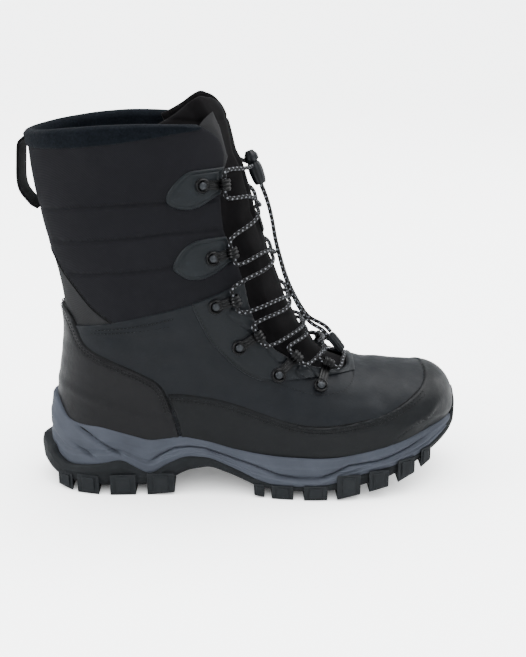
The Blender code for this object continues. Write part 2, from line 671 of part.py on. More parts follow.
def overlay(name, rows, thickness, outline, sides, boot, cutters, throat, finish):
    """A sheet that lies on the upper, cut to an outline between two forms of the upper."""
    outer = lifted_rows(rows, lambda v: sheet_lift(v) + thickness)
    sheet = add(name, wall_mesh(name, outer, lifted_rows(rows, sheet_lift)), boot, finish)
    prism = outline_prism(name + "_outline", outline, *sides, cutters)
    boolean(sheet, prism, "INTERSECT")
    boolean(sheet, throat, "DIFFERENCE")
    return sheet


def build_upper(boot, throat):
    outer = lifted_rows(UPPER_ROWS, base_lift)
    inner = lifted_rows(UPPER_ROWS, lambda v: -WALL)
    upper = add("upper", wall_mesh("upper", outer, inner), boot, "leather")
    boolean(upper, throat, "DIFFERENCE")
    return upper


def rows_between(low, high):
    return [v for v in UPPER_ROWS if low <= v <= high]


def sheet_lift(v):
    """Where an overlay's inner face lies: on the upper's wall, a gap away."""
    return base_lift(v) + GAP


def build_overlays(boot, cutters, throat):
    half = SHAFT_WIDTH
    both = (-half, half)
    for name, low, high, outline, finish in (
        ("heel_counter", 0, 14, COUNTER_OUTLINE, "smooth"),
        ("toe_rand", 0, 9, RAND_OUTLINE, "smooth"),
        ("eyestay", 2, QUARTER_TOP, EYESTAY_OUTLINE, "leather"),
    ):
        rows = rows_between(low, high)
        overlay(name, rows, OVERLAY, outline, both, boot, cutters, throat, finish)
    rows = rows_between(QUARTER_TOP + STEP_RISE, RIM)
    for level, outline in PATCHES.items():
        for side_name, sides in (("outer", (-half, -GAP)), ("inner", (GAP, half))):
            name = f"hook_patch_{level}_{side_name}"
            overlay(name, rows, PATCH, outline, sides, boot, cutters, throat, "smooth")


def build_collar(boot, cutters):
    numbers = rows_between(COLLAR_FROM, RIM)
    outer = lifted_rows(numbers, lambda v: -(WALL + GAP))
    inner = lifted_rows(numbers, lambda v: -(WALL + GAP + COLLAR_PAD))
    collar = add("collar", wall_mesh("collar", outer, inner), boot, "lining")
    outline = [(x - COLLAR_BACK / SOLE_LENGTH, z) for x, z in THROAT_EDGE + THROAT_FRONT]
    front = outline_prism("collar_front", outline, -SHAFT_WIDTH, SHAFT_WIDTH, cutters)
    boolean(collar, front, "DIFFERENCE")
    return collar


def tongue_half(v):
    return float(np.interp(v, [row[0] for row in TONGUE], [row[1] for row in TONGUE])) * SHAFT_WIDTH


def tongue_rows():
    """The tongue's outer face: under the upper at its sides, and bulging through the throat."""
    rows = []
    for j, v in enumerate(TONGUE_ROWS):
        sides = []
        for side in (-1, 1):
            line = half_ring(v, side)[::-1]
            along = np.concatenate([[0], np.cumsum(np.linalg.norm(np.diff(line, axis=0), axis=1))])
            at = np.linspace(0, tongue_half(v), TONGUE_COLUMNS + 1)
            sides.append(np.stack([np.interp(at, along, line[:, k]) for k in range(3)], 1))
        rows.append(np.concatenate([sides[0][::-1], sides[1][1:]]))
    rows = np.array(rows)
    out = normals(rows)
    lifts = np.zeros(rows.shape[:2])
    for j, v in enumerate(TONGUE_ROWS):
        inside = inside_throat(rows[j, :, 0], rows[j, :, 2])
        in_collar = smooth((v - COLLAR_FROM + PAD_BELOW) / PAD_OVER) * smooth(PAD_RAMP * inside / COLLAR_BACK)
        deep = -(WALL + TONGUE_CLEAR + (COLLAR_PAD + GAP) * in_collar)
        lifts[j] = deep + (TONGUE_BULGE - deep) * smooth((inside - TONGUE_EDGE) / TONGUE_RISE)
        if v > TONGUE_SAME:
            lifts[j] = lifts[j - 1]
    return rows + out * lifts[..., None], out


def build_tongue(boot, cutters):
    outer, out = tongue_rows()
    tongue = add("tongue", wall_mesh("tongue", outer, outer - out * TONGUE_PAD), boot, "shaft")
    half = SHAFT_WIDTH
    boolean(tongue, outline_prism("tongue_outline", TONGUE_OUTLINE, -half, half, cutters), "INTERSECT")
    return tongue


def sole_height(x, column):
    knots = [row.x * SOLE_LENGTH for row in SOLE]
    return np.interp(x, knots, [getattr(row, column) * COLLAR_HEIGHT for row in SOLE])


def sole_plan(column, extra=0.0, columns=SOLE_COLUMNS):
    """The sole's outline from above, out from the upper by its margin, heel to toe, one side each."""
    sides = []
    for side in (-1, 1):
        line = spaced(half_ring(SOLE_SECTION, side), columns)
        run = np.gradient(line[:, :2], axis=0)
        run[0] = (0, side)
        run[-1] = (0, -side)
        out = np.stack([-run[:, 1], run[:, 0]], 1) * side
        out /= np.linalg.norm(out, axis=1)[:, None]
        way = np.linspace(0, 1, columns + 1)
        margin = np.interp(way, [m.way for m in MARGINS], [getattr(m, column) for m in MARGINS])
        sides.append(line[:, :2] + out * (margin + extra)[:, None])
    return sides


def sole_form(name, column, profile, low, high, grow, where, finish=None):
    """A closed block with the sole's outline: its side follows a profile between two heights."""
    way = np.linspace(0, 1, SOLE_COLUMNS + 1)
    rings = []
    for share, proud in profile:
        both = []
        for plan in sole_plan(column, proud + grow):
            x = plan[:, 0]
            bottom = low(x, way) - grow
            top = high(x, way) + grow
            both.append(np.stack([x, plan[:, 1], bottom + (top - bottom) * share], 1))
        rings.append(np.concatenate([both[0], both[1][-2:0:-1]]))
    return add(name, block_mesh(name, np.array(rings)), where, finish)


def last_rings(rows):
    """Rings of the upper turned to start at the heel, as a block's rings do."""
    return np.roll(rows[:, :-1], -(rows.shape[1] // 2), axis=1)


def last_form(name, grow, where):
    """The upper's outer form as one closed block, to cut what lies round it."""
    numbers = [v for v in UPPER_ROWS if v <= LAST_TOP]
    rings = last_rings(lifted_rows(numbers, lambda v: grow))
    floor = rings[:1].copy()
    floor[..., 2] = last_rings(lifted_rows([FEATHER], lambda v: 0.0))[..., 2] - GAP
    made = add(name, block_mesh(name, np.concatenate([floor, rings])), where)
    hide(made)
    return made


def foam_block(name, profile, grow, where, finish=None):
    return sole_form(
        name,
        "foam",
        profile,
        lambda x, way: sole_height(x, "foam_bottom"),
        lambda x, way: sole_height(x, "foam_top"),
        grow,
        where,
        finish,
    )


def build_midsole(boot, cutters):
    midsole = foam_block("midsole", FOAM_SIDE, 0.0, boot, "foam")
    boolean(midsole, last_form("last_for_midsole", QUARTER_STEP + OVERLAY + 2 * GAP, cutters), "DIFFERENCE")
    return midsole


def bumper_top(x, way):
    """The rubber's top edge: the foam's lower edge, raised into bumpers at both ends."""
    share = np.interp(way, [row[0] for row in BUMPERS], [row[1] for row in BUMPERS])
    return np.maximum(sole_height(x, "foam_bottom") + LUG_SINK, share * COLLAR_HEIGHT)


def edge_y(x, side):
    """The rubber's outline at x."""
    plan = sole_plan("rubber")[0 if side < 0 else 1]
    return float(np.interp(x, plan[:, 0], plan[:, 1]))


def box(name, corners, where):
    """A primitive cube whose corners are moved: near and far, low and high, start and end."""
    bm = bmesh.new()
    bmesh.ops.create_cube(bm, size=1)
    for vertex in bm.verts:
        key = tuple(int(value > 0) for value in vertex.co)
        vertex.co = corners[key]
    bmesh.ops.recalc_face_normals(bm, faces=bm.faces)
    mesh = bpy.data.meshes.new(name)
    bm.to_mesh(mesh)
    bm.free()
    made = add(name, mesh, where)
    hide(made)
    return made


def edge_lug(lug, side, where):
    corners = {}
    for i, x_share in enumerate((lug.start, lug.end)):
        x = x_share * SOLE_LENGTH
        outer = edge_y(x, side) + side * lug.proud
        inner = edge_y(x, side) * LUG_DEPTH
        ground = float(sole_height(x, "ground"))
        tread = float(sole_height(x, "tread_base")) + LUG_SINK
        top = max(lug.top * COLLAR_HEIGHT, tread)
        for far, y in ((0, outer), (1, inner)):
            corners[(i, far, 0)] = Vector((x, y, ground))
            corners[(i, far, 1)] = Vector((x, y, top if far == 0 else tread))
    return box(f"edge_lug_{side}_{lug.start}", corners, where)


def middle_lug(lug, where):
    corners = {}
    turn = math.radians(lug.turn)
    for i in (0, 1):
        for j in (0, 1):
            along = (i - 0.5) * lug.long * SOLE_LENGTH
            wide = (j - 0.5) * lug.wide * BALL_WIDTH
            x = lug.x * SOLE_LENGTH + along * math.cos(turn) - wide * math.sin(turn)
            y = lug.y * BALL_WIDTH + along * math.sin(turn) + wide * math.cos(turn)
            corners[(i, j, 0)] = Vector((x, y, float(sole_height(x, "ground"))))
            corners[(i, j, 1)] = Vector((x, y, float(sole_height(x, "tread_base")) + LUG_SINK))
    return box(f"middle_lug_{lug.x}_{lug.y}", corners, where)


def build_outsole(boot, cutters):
    outsole = sole_form(
        "outsole",
        "rubber",
        RUBBER_SIDE,
        lambda x, way: sole_height(x, "tread_base"),
        bumper_top,
        0.0,
        boot,
        "rubber",
    )
    for lug in EDGE_LUGS:
        for side in (-1, 1):
            boolean(outsole, edge_lug(lug, side, cutters), "UNION")
    for lug in MIDDLE_LUGS:
        boolean(outsole, middle_lug(lug, cutters), "UNION")
    foam = foam_block("foam_for_outsole", FOAM_HULL, GAP, cutters)
    hide(foam)
    boolean(outsole, foam, "DIFFERENCE")
    boolean(outsole, last_form("last_for_outsole", QUARTER_STEP + OVERLAY + 2 * GAP, cutters), "DIFFERENCE")
    return outsole


def build_insole(boot):
    inset = WALL + INSOLE_CLEAR
    floor = last_rings(lifted_rows([FEATHER], lambda v: -inset))
    top = floor + np.array([0, 0, INSOLE_THICK])
    return add("insole", block_mesh("insole", np.concatenate([floor, top])), boot, "lining")


def over_surface(x, z, side, lift):
    """A point over the upper, seen from the side at (x, z), and the outward direction there."""
    step = 0.001
    xs = np.array([x, x - step, x + step, x, x])
    zs = np.array([z, z, z, z - step, z + step])
    y = foot(xs, "centre") + side * half_width(xs, zs, side)
    out = Vector((-(y[2] - y[1]) / (2 * step), 1, -(y[4] - y[3]) / (2 * step))) * side
    out.normalize()
    return Vector((x, y[0], z)) + out * lift, out


def hook_base(hook):
    return PATCH + 2 * GAP if hook.base == "patch" else QUARTER_STEP + OVERLAY + 2 * GAP


def hook_places(hook, side):
    """The hook's rivet place and direction, its loop's middle, and the directions of its arm."""
    rivet, rivet_out = over_surface(hook.x * SOLE_LENGTH, hook.z * COLLAR_HEIGHT, side, hook_base(hook))
    foot_point, loop_out = over_surface(
        hook.loop_x * SOLE_LENGTH, hook.loop_z * COLLAR_HEIGHT, side, hook_base(hook)
    )
    along = (foot_point - rivet).normalized()
    out = rivet_out + loop_out
    out = (out - along * out.dot(along)).normalized()
    across = out.cross(along)
    if across.z < 0:
        across = -across
    middle = foot_point + out * (HOOK_RAISE + LOOP_BORE + HOOK_PLATE)
    return rivet, rivet_out, foot_point, middle, along, out, across


def hook_profile(reach):
    """Side outline of a hook's plate, from the rivet along the arm and round the loop."""
    outer = LOOP_BORE + HOOK_PLATE
    angles = [math.radians(-90 + LOOP_TURN * k / LOOP_STEPS) for k in range(LOOP_STEPS + 1)]
    points = [(0.0, HOOK_RAISE)]
    points += [(reach + outer * math.cos(a), HOOK_RAISE + outer * (1 + math.sin(a))) for a in angles]
    inner = [(reach + LOOP_BORE * math.cos(a), HOOK_RAISE + outer + LOOP_BORE * math.sin(a)) for a in angles]
    return points + inner[::-1] + [(0.0, HOOK_RAISE + HOOK_PLATE)]


def build_hook(name, hook, side, boot, cutters):
    rivet, rivet_out, foot_point, _, along, out, across = hook_places(hook, side)
    bm = bmesh.new()
    bmesh.ops.create_cone(
        bm,
        cap_ends=True,
        segments=RIVET_SIDES,
        radius1=RIVET_RADIUS,
        radius2=RIVET_TOP,
        depth=RIVET_HEIGHT,
    )
    turn = rivet_out.to_track_quat("Z", "Y").to_matrix().to_4x4()
    bm.transform(Matrix.Translation(rivet + rivet_out * RIVET_HEIGHT / 2) @ turn)
    mesh = bpy.data.meshes.new(name)
    bm.to_mesh(mesh)
    bm.free()
    made = add(name, mesh, boot, "metal")
    profile = hook_profile((foot_point - rivet).length)
    rows = []
    for way in (-0.5, 0.5):
        rows.append([rivet + along * u + out * w + across * LOOP_WIDE * way for u, w in profile])
    arm = add(name + "_arm", prism_mesh(name + "_arm", rows), cutters)
    hide(arm)
    boolean(made, arm, "UNION")
    return made


def prism_mesh(name, rows):
    """A closed block between two like outlines."""
    bm = bmesh.new()
    sides = [[bm.verts.new(point) for point in row] for row in rows]
    count = len(sides[0])
    for i in range(count):
        k = (i + 1) % count
        bm.faces.new((sides[0][i], sides[0][k], sides[1][k], sides[1][i]))
    for row in sides:
        bm.faces.new(row)
    bmesh.ops.recalc_face_normals(bm, faces=bm.faces)
    bmesh.ops.triangulate(bm, faces=bm.faces)
    mesh = bpy.data.meshes.new(name)
    bm.to_mesh(mesh)
    bm.free()
    return mesh


def build_hooks(boot, cutters):
    for number, hook in enumerate(HOOKS, 1):
        for side_name, side in (("outer", -1), ("inner", 1)):
            build_hook(f"hook_{number}_{side_name}", hook, side, boot, cutters)


@functools.cache
def front_lines(side):
    """Lines across the front of the upper, from its crest to where a side is widest."""
    lines = []
    for v in FRONT_SECTIONS:
        line = half_ring(v, side)[::-1]
        lines.append(line[: int(np.abs(line[:, 1] - line[0, 1]).argmax()) + 1])
    return lines


def front_points(y):
    """Where the front of the upper lies y to the side of its crest, at each front section."""
    found = []
    for line in front_lines(-1 if y < 0 else 1):
        away = np.abs(line[:, 1] - line[0, 1])
        found.append([np.interp(abs(y), away, line[:, k]) for k in range(3)])
    return np.array(found)


def over_front(v, y, lift):
    """A point over the front of the upper."""
    step = 0.0005
    near, here, far = (front_points(y + way * step) for way in (-1, 0, 1))
    along = np.gradient(here, axis=0)
    out = np.cross(along, far - near)
    out *= np.sign(out[:, :1])
    out /= np.maximum(np.linalg.norm(out, axis=1), 1e-12)[:, None]
    raised = here + out * lift
    return Vector([float(np.interp(v, FRONT_SECTIONS, raised[:, k])) for k in range(3)])


def front_place(place):
    return over_front(place.section, place.aside, place.lift)


def lace_run(start, out, high, crossing, between):
    """A strand's way over the tongue from a hook to the middle, without its ends."""
    under = start - out * high
    y = under.y - float(foot(under.x, "centre"))
    v = FRONT_SECTIONS[int(np.linalg.norm(front_points(y) - np.array(under), axis=1).argmin())]
    places = []
    for share in between:
        lift = high + (crossing.lift - high) * share
        places.append(over_front(v + (crossing.section - v) * share, y * (1 - share), lift))
    return places


def lace_route(first_side):
    """Places that one strand passes, from the cord lock down to the bar over the throat's end."""
    lock = (front_place(LOCK_TOP) * 2 + front_place(LOCK_BOTTOM)) / 3
    places = []
    side = first_side
    for number, hook in enumerate(HOOKS):
        _, _, _, middle, _, out, across = hook_places(hook, side)
        high = hook_base(hook) + HOOK_RAISE + HOOK_PLATE + LOOP_BORE
        past = across * (LOOP_WIDE / 2 + LACE_PAST_LOOP)
        if number == 0:
            start = lock + Vector((0, side * (LOCK_RADIUS + LACE / 2), 0))
            places.append(start)
            places.append((start + middle + past) / 2 + Vector((LACE, 0, 0)))
        else:
            places += lace_run(middle + past, out, high, CROSSINGS[number - 1], RUN_SHARES[::-1])
        places += [middle + past, middle, middle - past]
        if number < len(CROSSINGS):
            places += lace_run(middle - past, out, high, CROSSINGS[number], RUN_SHARES)
            crossing = CROSSINGS[number]
            places.append(over_front(crossing.section, 0.0, crossing.lift))
        side = -side
    places += lace_run(middle - past, out, high, BAR, RUN_SHARES)
    places.append(over_front(BAR.section, 0.0, BAR.lift))
    return places


def smooth_line(places):
    """Fine points along a smooth curve through the places."""
    points = np.array(places)
    at = np.concatenate([[0], np.cumsum(np.sqrt(np.linalg.norm(np.diff(points, axis=0), axis=1)))])
    fine = np.linspace(0, at[-1], 40 * len(points))
    return np.stack([spline(at, points[:, k], fine) for k in range(3)], 1)


def even_steps(line, step):
    length = float(np.linalg.norm(np.diff(line, axis=0), axis=1).sum())
    return spaced(line, max(2, round(length / step)), 0.0)


def tube(name, points, fineness, where, finish):
    """A cord along these points, with closed ends."""
    curve = bpy.data.curves.new(name, "CURVE")
    curve.dimensions = "3D"
    curve.bevel_depth = LACE / 2
    curve.bevel_resolution = fineness
    curve.use_fill_caps = True
    line = curve.splines.new("POLY")
    line.points.add(len(points) - 1)
    for point, place in zip(line.points, points):
        point.co = (*place, 1)
    if finish:
        curve.materials.append(material(finish))
    made = bpy.data.objects.new(name, curve)
    where.objects.link(made)
    return made


def welded(obj):
    """The same solid as a mesh, its caps welded."""
    bpy.context.view_layer.update()
    graph = bpy.context.evaluated_depsgraph_get()
    mesh = bpy.data.meshes.new_from_object(obj.evaluated_get(graph))
    name, where = obj.name, obj.users_collection[0]
    bpy.data.objects.remove(obj, do_unlink=True)
    tidy_mesh(mesh)
    made = bpy.data.objects.new(name, mesh)
    where.objects.link(made)
    return made


def build_laces(boot, cutters):
    strands = []
    for name, side in (("laces", -1), ("other_strand", 1)):
        line = spaced(smooth_line(lace_route(side)), LACE_COUNT, LACE_TURN)
        strands.append(welded(tube(name, line, 1, boot if side < 0 else cutters, "lace")))
    hide(strands[1])
    boolean(strands[0], strands[1], "UNION")


def build_lock(boot):
    """A turned barrel with a button on top, round the two strands."""
    top, bottom = front_place(LOCK_TOP), front_place(LOCK_BOTTOM)
    length = (top - bottom).length
    profile = [
        (0.0, length + LOCK_BUTTON_HEIGHT),
        (LOCK_BUTTON * 0.8, length + LOCK_BUTTON_HEIGHT),
        (LOCK_BUTTON, length + LOCK_BUTTON_HEIGHT * 0.7),
        (LOCK_BUTTON, length),
        (LOCK_RADIUS * 0.9, length),
        (LOCK_RADIUS, length * 0.85),
        (LOCK_RADIUS, length * 0.2),
        (LOCK_RADIUS * 0.7, 0.0),
        (0.0, 0.0),
    ]
    turned("cord_lock", profile, bottom, top - bottom, boot, "plastic")


def turned(name, profile, place, way, where, finish):
    """A profile turned round an axis that starts at a place and points a way."""
    mesh = bpy.data.meshes.new(name)
    count = len(profile)
    mesh.from_pydata([(r, 0, z) for r, z in profile], [(i, i + 1) for i in range(count - 1)], [])
    made = bpy.data.objects.new(name, mesh)
    where.objects.link(made)
    turn = made.modifiers.new("turn", "SCREW")
    turn.steps = turn.render_steps = 10
    turn.use_merge_vertices = True
    turn.merge_threshold = 0.00005
    solid = welded(made)
    solid.data.transform(Matrix.Translation(place) @ way.to_track_quat("Z", "Y").to_matrix().to_4x4())
    solid.data.materials.append(material(finish))
    solid.data.shade_smooth()
    solid.data.set_sharp_from_angle(angle=math.radians(40))
    return solid


def build_ends(boot):
    """The two ends that hang from the lock, and the clip that holds both, square across them."""
    lines = []
    for places in (END_A, END_B):
        lines.append(even_steps(smooth_line([front_place(place) for place in places]), LACE_STEP))
    middle = (lines[0][-1] + lines[1][-1]) / 2
    way = Vector(lines[0][-1] - lines[0][-2]).normalized() + Vector(lines[1][-1] - lines[1][-2]).normalized()
    way.normalize()
    for name, line in zip(("lace_end_a", "lace_end_b"), lines):
        line[-1] -= np.array(way) * np.dot(line[-1] - middle, way)
        tube(name, line, 2, boot, "lace")
    start = Vector(middle) + way * CLIP_CLEAR
    profile = [
        (0.0, CLIP_LENGTH),
        (CLIP_RADIUS * 0.7, CLIP_LENGTH),
        (CLIP_RADIUS, CLIP_LENGTH * 0.8),
        (CLIP_RADIUS, CLIP_LENGTH * 0.15),
        (CLIP_RADIUS * 0.8, 0.0),
        (0.0, 0.0),
    ]
    turned("lace_clip", profile, start, way, boot, "plastic")


def build_keeper(boot):
    """A strap over the middle of the tongue, under the laces."""
    sides = np.linspace(-KEEPER_HALF, KEEPER_HALF, KEEPER_COLUMNS + 1)
    low = TONGUE_BULGE + GAP
    inner, outer = (
        np.array([[over_front(v, y, lift) for y in sides] for v in KEEPER_SECTIONS])
        for lift in (low, low + KEEPER_THICK)
    )
    add("lace_keeper", wall_mesh("lace_keeper", outer, inner), boot, "webbing")


def build_pull_loop(boot):
    """A strap sewn flat to the back at both ends, standing off between them."""
    outer = []
    inner = []
    for point in PULL_LOOP_OUT:
        z = point.z * COLLAR_HEIGHT
        x = float(np.interp(z, BACK_Z, BACK_X)) - GAP
        slope = float(np.interp(z + 0.002, BACK_Z, BACK_X) - np.interp(z - 0.002, BACK_Z, BACK_X)) / 0.004
        out = Vector((-1, 0, slope)).normalized()
        middle = Vector((x, 0, z)) + out * point.off
        inner.append(middle - out * PULL_STRAP / 2)
        outer.append(middle + out * PULL_STRAP / 2)
    ends = outer + inner[::-1]
    rows = [[point + Vector((0, PULL_WIDE * way, 0)) for point in ends] for way in (-0.5, 0.5)]
    add("pull_loop", prism_mesh("pull_loop", rows), boot, "webbing")


def centre_on_floor(boot, cutters):
    """Moves everything so that the middle of the boot's box stands over the origin."""
    bpy.context.view_layer.update()
    graph = bpy.context.evaluated_depsgraph_get()
    corners = []
    for obj in boot.objects:
        if obj.name not in LOOSE:
            found = obj.evaluated_get(graph)
            corners += [found.matrix_world @ Vector(corner) for corner in found.bound_box]
    shift = Vector((0, 0, 0))
    for axis in (0, 1):
        values = [corner[axis] for corner in corners]
        shift[axis] = -(min(values) + max(values)) / 2
    for obj in list(boot.objects) + list(cutters.objects):
        obj.location += shift


def main():
    clear_scene()
    boot = collection("snow_boot")
    cutters = collection("cutters", hidden=True)
    half = SHAFT_WIDTH
    throat = outline_prism("throat", THROAT_EDGE + THROAT_FRONT, -half, half, cutters)
    build_upper(boot, throat)
    build_overlays(boot, cutters, throat)
    build_collar(boot, cutters)
    build_tongue(boot, cutters)
    build_insole(boot)
    build_midsole(boot, cutters)
    build_outsole(boot, cutters)
    build_hooks(boot, cutters)
    build_laces(boot, cutters)
    build_lock(boot)
    build_ends(boot)
    build_keeper(boot)
    build_pull_loop(boot)
    centre_on_floor(boot, cutters)


main()
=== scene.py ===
"""Lace-up snow boot, dressed for a studio picture, laid out as a Blender add-on.

The surfaces follow the same tables as the boot's solids, only finer. Lengths are in metres.
"""

import functools
import math
from collections import namedtuple

import bmesh
import bpy
import numpy as np
from bpy.props import FloatProperty, FloatVectorProperty, PointerProperty
from mathutils import Matrix, Vector


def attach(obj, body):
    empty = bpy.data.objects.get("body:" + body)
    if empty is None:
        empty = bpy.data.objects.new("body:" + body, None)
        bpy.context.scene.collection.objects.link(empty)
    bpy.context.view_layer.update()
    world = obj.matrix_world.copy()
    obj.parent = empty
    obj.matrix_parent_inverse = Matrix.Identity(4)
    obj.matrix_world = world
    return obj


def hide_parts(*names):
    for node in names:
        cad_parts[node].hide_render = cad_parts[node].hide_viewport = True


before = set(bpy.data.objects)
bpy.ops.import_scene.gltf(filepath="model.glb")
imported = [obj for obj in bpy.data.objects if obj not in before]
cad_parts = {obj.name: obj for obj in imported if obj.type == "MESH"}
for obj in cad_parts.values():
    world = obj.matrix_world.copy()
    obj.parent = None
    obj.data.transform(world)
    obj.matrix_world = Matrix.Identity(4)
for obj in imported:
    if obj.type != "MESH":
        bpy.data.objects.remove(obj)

bl_info = {
    "name": "Snow boot",
    "version": (1, 0, 0),
    "blender": (4, 5, 0),
    "location": "View3D > Sidebar > Boot",
    "description": "Builds the looks of a laced snow boot",
    "category": "Object",
}

# Sizes of the boot
SOLE_LENGTH = 0.304
COLLAR_HEIGHT = 0.257
BALL_WIDTH = 0.104
SHAFT_WIDTH = 0.094
WALL = 0.0018
GAP = 0.0003
QUARTER_STEP = 0.001
OVERLAY = 0.0012
PATCH = 0.001
ROUNDNESS = 2.15
FEATHER_TUCK = 0.1
TUCK_HEIGHT = 0.018
ANKLE_LOW = 0.058
ANKLE_HIGH = 0.125
# The boot's frame is moved by this, so that its box stands over the origin.
SHIFT = Vector((0.002347, -0.001375, 0.0))

Section = namedtuple(
    "Section", "back_x back_z front_x front_z back_depth front_depth sag sag_power"
)
SECTIONS = [
    Section(-0.430, 0.105, 0.457, 0.140, 0.165, 0.185, -0.050, 2.0),
    Section(-0.450, 0.155, 0.483, 0.178, 0.170, 0.180, -0.045, 2.0),
    Section(-0.451, 0.210, 0.487, 0.214, 0.175, 0.172, -0.034, 1.8),
    Section(-0.447, 0.262, 0.478, 0.254, 0.180, 0.160, -0.020, 1.5),
    Section(-0.442, 0.298, 0.455, 0.284, 0.182, 0.145, -0.010, 1.2),
    Section(-0.439, 0.325, 0.418, 0.300, 0.185, 0.136, -0.004, 1.0),
    Section(-0.436, 0.348, 0.366, 0.307, 0.188, 0.136, 0.000, 1.0),
    Section(-0.433, 0.368, 0.306, 0.314, 0.192, 0.140, 0.000, 1.0),
    Section(-0.431, 0.388, 0.247, 0.327, 0.198, 0.152, -0.003, 1.0),
    Section(-0.429, 0.407, 0.190, 0.354, 0.205, 0.172, -0.006, 1.0),
    Section(-0.427, 0.426, 0.138, 0.404, 0.212, 0.195, -0.010, 1.0),
    Section(-0.426, 0.445, 0.090, 0.500, 0.222, 0.220, -0.015, 1.0),
    Section(-0.426, 0.463, 0.050, 0.625, 0.235, 0.242, -0.019, 1.0),
    Section(-0.430, 0.530, 0.028, 0.705, 0.248, 0.255, -0.018, 1.0),
    Section(-0.441, 0.610, 0.011, 0.775, 0.256, 0.262, -0.012, 1.0),
    Section(-0.458, 0.700, -0.005, 0.840, 0.262, 0.266, -0.004, 1.0),
    Section(-0.473, 0.790, -0.018, 0.898, 0.265, 0.267, 0.006, 1.0),
    Section(-0.484, 0.882, -0.028, 0.947, 0.267, 0.267, 0.013, 1.0),
    Section(-0.491, 0.972, -0.037, 0.992, 0.267, 0.267, 0.020, 1.0),
    Section(-0.496, 1.050, -0.051, 1.040, 0.267, 0.267, 0.022, 1.0),
    Section(-0.500, 1.120, -0.072, 1.082, 0.267, 0.267, 0.022, 1.0),
]
FootWidth = namedtuple("FootWidth", "x outer inner centre")
FOOT = [
    FootWidth(-0.500, 0.300, 0.300, 0.000),
    FootWidth(-0.362, 0.345, 0.335, 0.000),
    FootWidth(-0.230, 0.362, 0.332, 0.000),
    FootWidth(-0.100, 0.388, 0.342, 0.000),
    FootWidth(0.033, 0.446, 0.412, 0.000),
    FootWidth(0.148, 0.498, 0.486, 0.008),
    FootWidth(0.263, 0.494, 0.484, 0.026),
    FootWidth(0.362, 0.464, 0.452, 0.050),
    FootWidth(0.500, 0.400, 0.384, 0.080),
]
SHAFT = [(0.40, 0.455), (0.60, 0.472), (0.80, 0.488), (1.00, 0.500), (1.20, 0.500)]
# Edge of the throat, drawn on the side of the boot: all in front of it is open.
THROAT_EDGE = [
    (-0.140, 1.030), (-0.100, 1.000), (-0.077, 0.981), (-0.063, 0.965), (-0.055, 0.946),
    (-0.050, 0.921), (-0.052, 0.897), (-0.058, 0.878), (-0.061, 0.823), (-0.059, 0.773),
    (-0.055, 0.734), (-0.042, 0.688), (-0.026, 0.647), (-0.015, 0.605), (-0.004, 0.540),
    (0.008, 0.496), (0.019, 0.463), (0.034, 0.433), (0.057, 0.405), (0.092, 0.376),
    (0.122, 0.358), (0.150, 0.345), (0.181, 0.333), (0.210, 0.326), (0.228, 0.328),
    (0.237, 0.337), (0.242, 0.352), (0.246, 0.420),
]
COLLAR_FROM = 16.3
COLLAR_PAD = 0.0042
COLLAR_BACK = 0.016
TONGUE_PAD = 0.0042
TONGUE_CLEAR = 0.0011
TONGUE_BULGE = 0.0012
TONGUE_EDGE = 0.0042
TONGUE_RISE = 0.008
TONGUE = [
    (7.2, 0.42), (8.0, 0.52), (9.0, 0.58), (10.5, 0.62), (14.0, 0.64), (17.0, 0.72), (20.0, 0.82),
]
TONGUE_SAME = 17.0
PAD_BELOW = 1.6
PAD_OVER = 1.2
PAD_RAMP = -2.5
TONGUE_OUTLINE = [
    (-0.300, 0.930), (-0.204, 1.000), (-0.160, 1.026), (-0.125, 1.052), (-0.100, 1.073),
    (-0.080, 1.076), (-0.064, 1.064), (-0.052, 1.046), (0.000, 1.030), (0.400, 0.700),
    (0.400, 0.200), (-0.300, 0.200),
]

SoleEdge = namedtuple("SoleEdge", "x foam_top foam_bottom tread_base ground")
SOLE = [
    SoleEdge(-0.500, 0.250, 0.105, 0.045, 0.030),
    SoleEdge(-0.462, 0.252, 0.084, 0.030, 0.012),
    SoleEdge(-0.440, 0.206, 0.066, 0.026, 0.004),
    SoleEdge(-0.415, 0.194, 0.066, 0.023, 0.000),
    SoleEdge(-0.345, 0.192, 0.080, 0.021, 0.000),
    SoleEdge(-0.300, 0.179, 0.098, 0.021, 0.000),
    SoleEdge(-0.262, 0.165, 0.070, 0.021, 0.000),
    SoleEdge(-0.232, 0.153, 0.050, 0.024, 0.000),
    SoleEdge(-0.200, 0.160, 0.080, 0.030, 0.000),
    SoleEdge(-0.150, 0.167, 0.110, 0.066, 0.016),
    SoleEdge(-0.095, 0.155, 0.108, 0.080, 0.040),
    SoleEdge(-0.040, 0.134, 0.080, 0.056, 0.026),
    SoleEdge(0.015, 0.122, 0.046, 0.026, 0.004),
    SoleEdge(0.060, 0.117, 0.031, 0.018, 0.000),
    SoleEdge(0.160, 0.114, 0.034, 0.018, 0.000),
    SoleEdge(0.205, 0.116, 0.046, 0.022, 0.004),
    SoleEdge(0.260, 0.126, 0.066, 0.032, 0.018),
    SoleEdge(0.330, 0.144, 0.082, 0.052, 0.036),
    SoleEdge(0.400, 0.163, 0.100, 0.082, 0.066),
    SoleEdge(0.450, 0.172, 0.130, 0.110, 0.094),
    SoleEdge(0.500, 0.182, 0.160, 0.150, 0.135),
]
SoleMargin = namedtuple("SoleMargin", "way foam rubber")
MARGINS = [
    SoleMargin(0.00, 0.0065, 0.0145),
    SoleMargin(0.10, 0.0058, 0.0092),
    SoleMargin(0.20, 0.0050, 0.0058),
    SoleMargin(0.60, 0.0050, 0.0054),
    SoleMargin(0.85, 0.0045, 0.0052),
    SoleMargin(0.94, 0.0020, 0.0042),
    SoleMargin(1.00, 0.0006, 0.0036),
]
SOLE_SECTION = 1.4
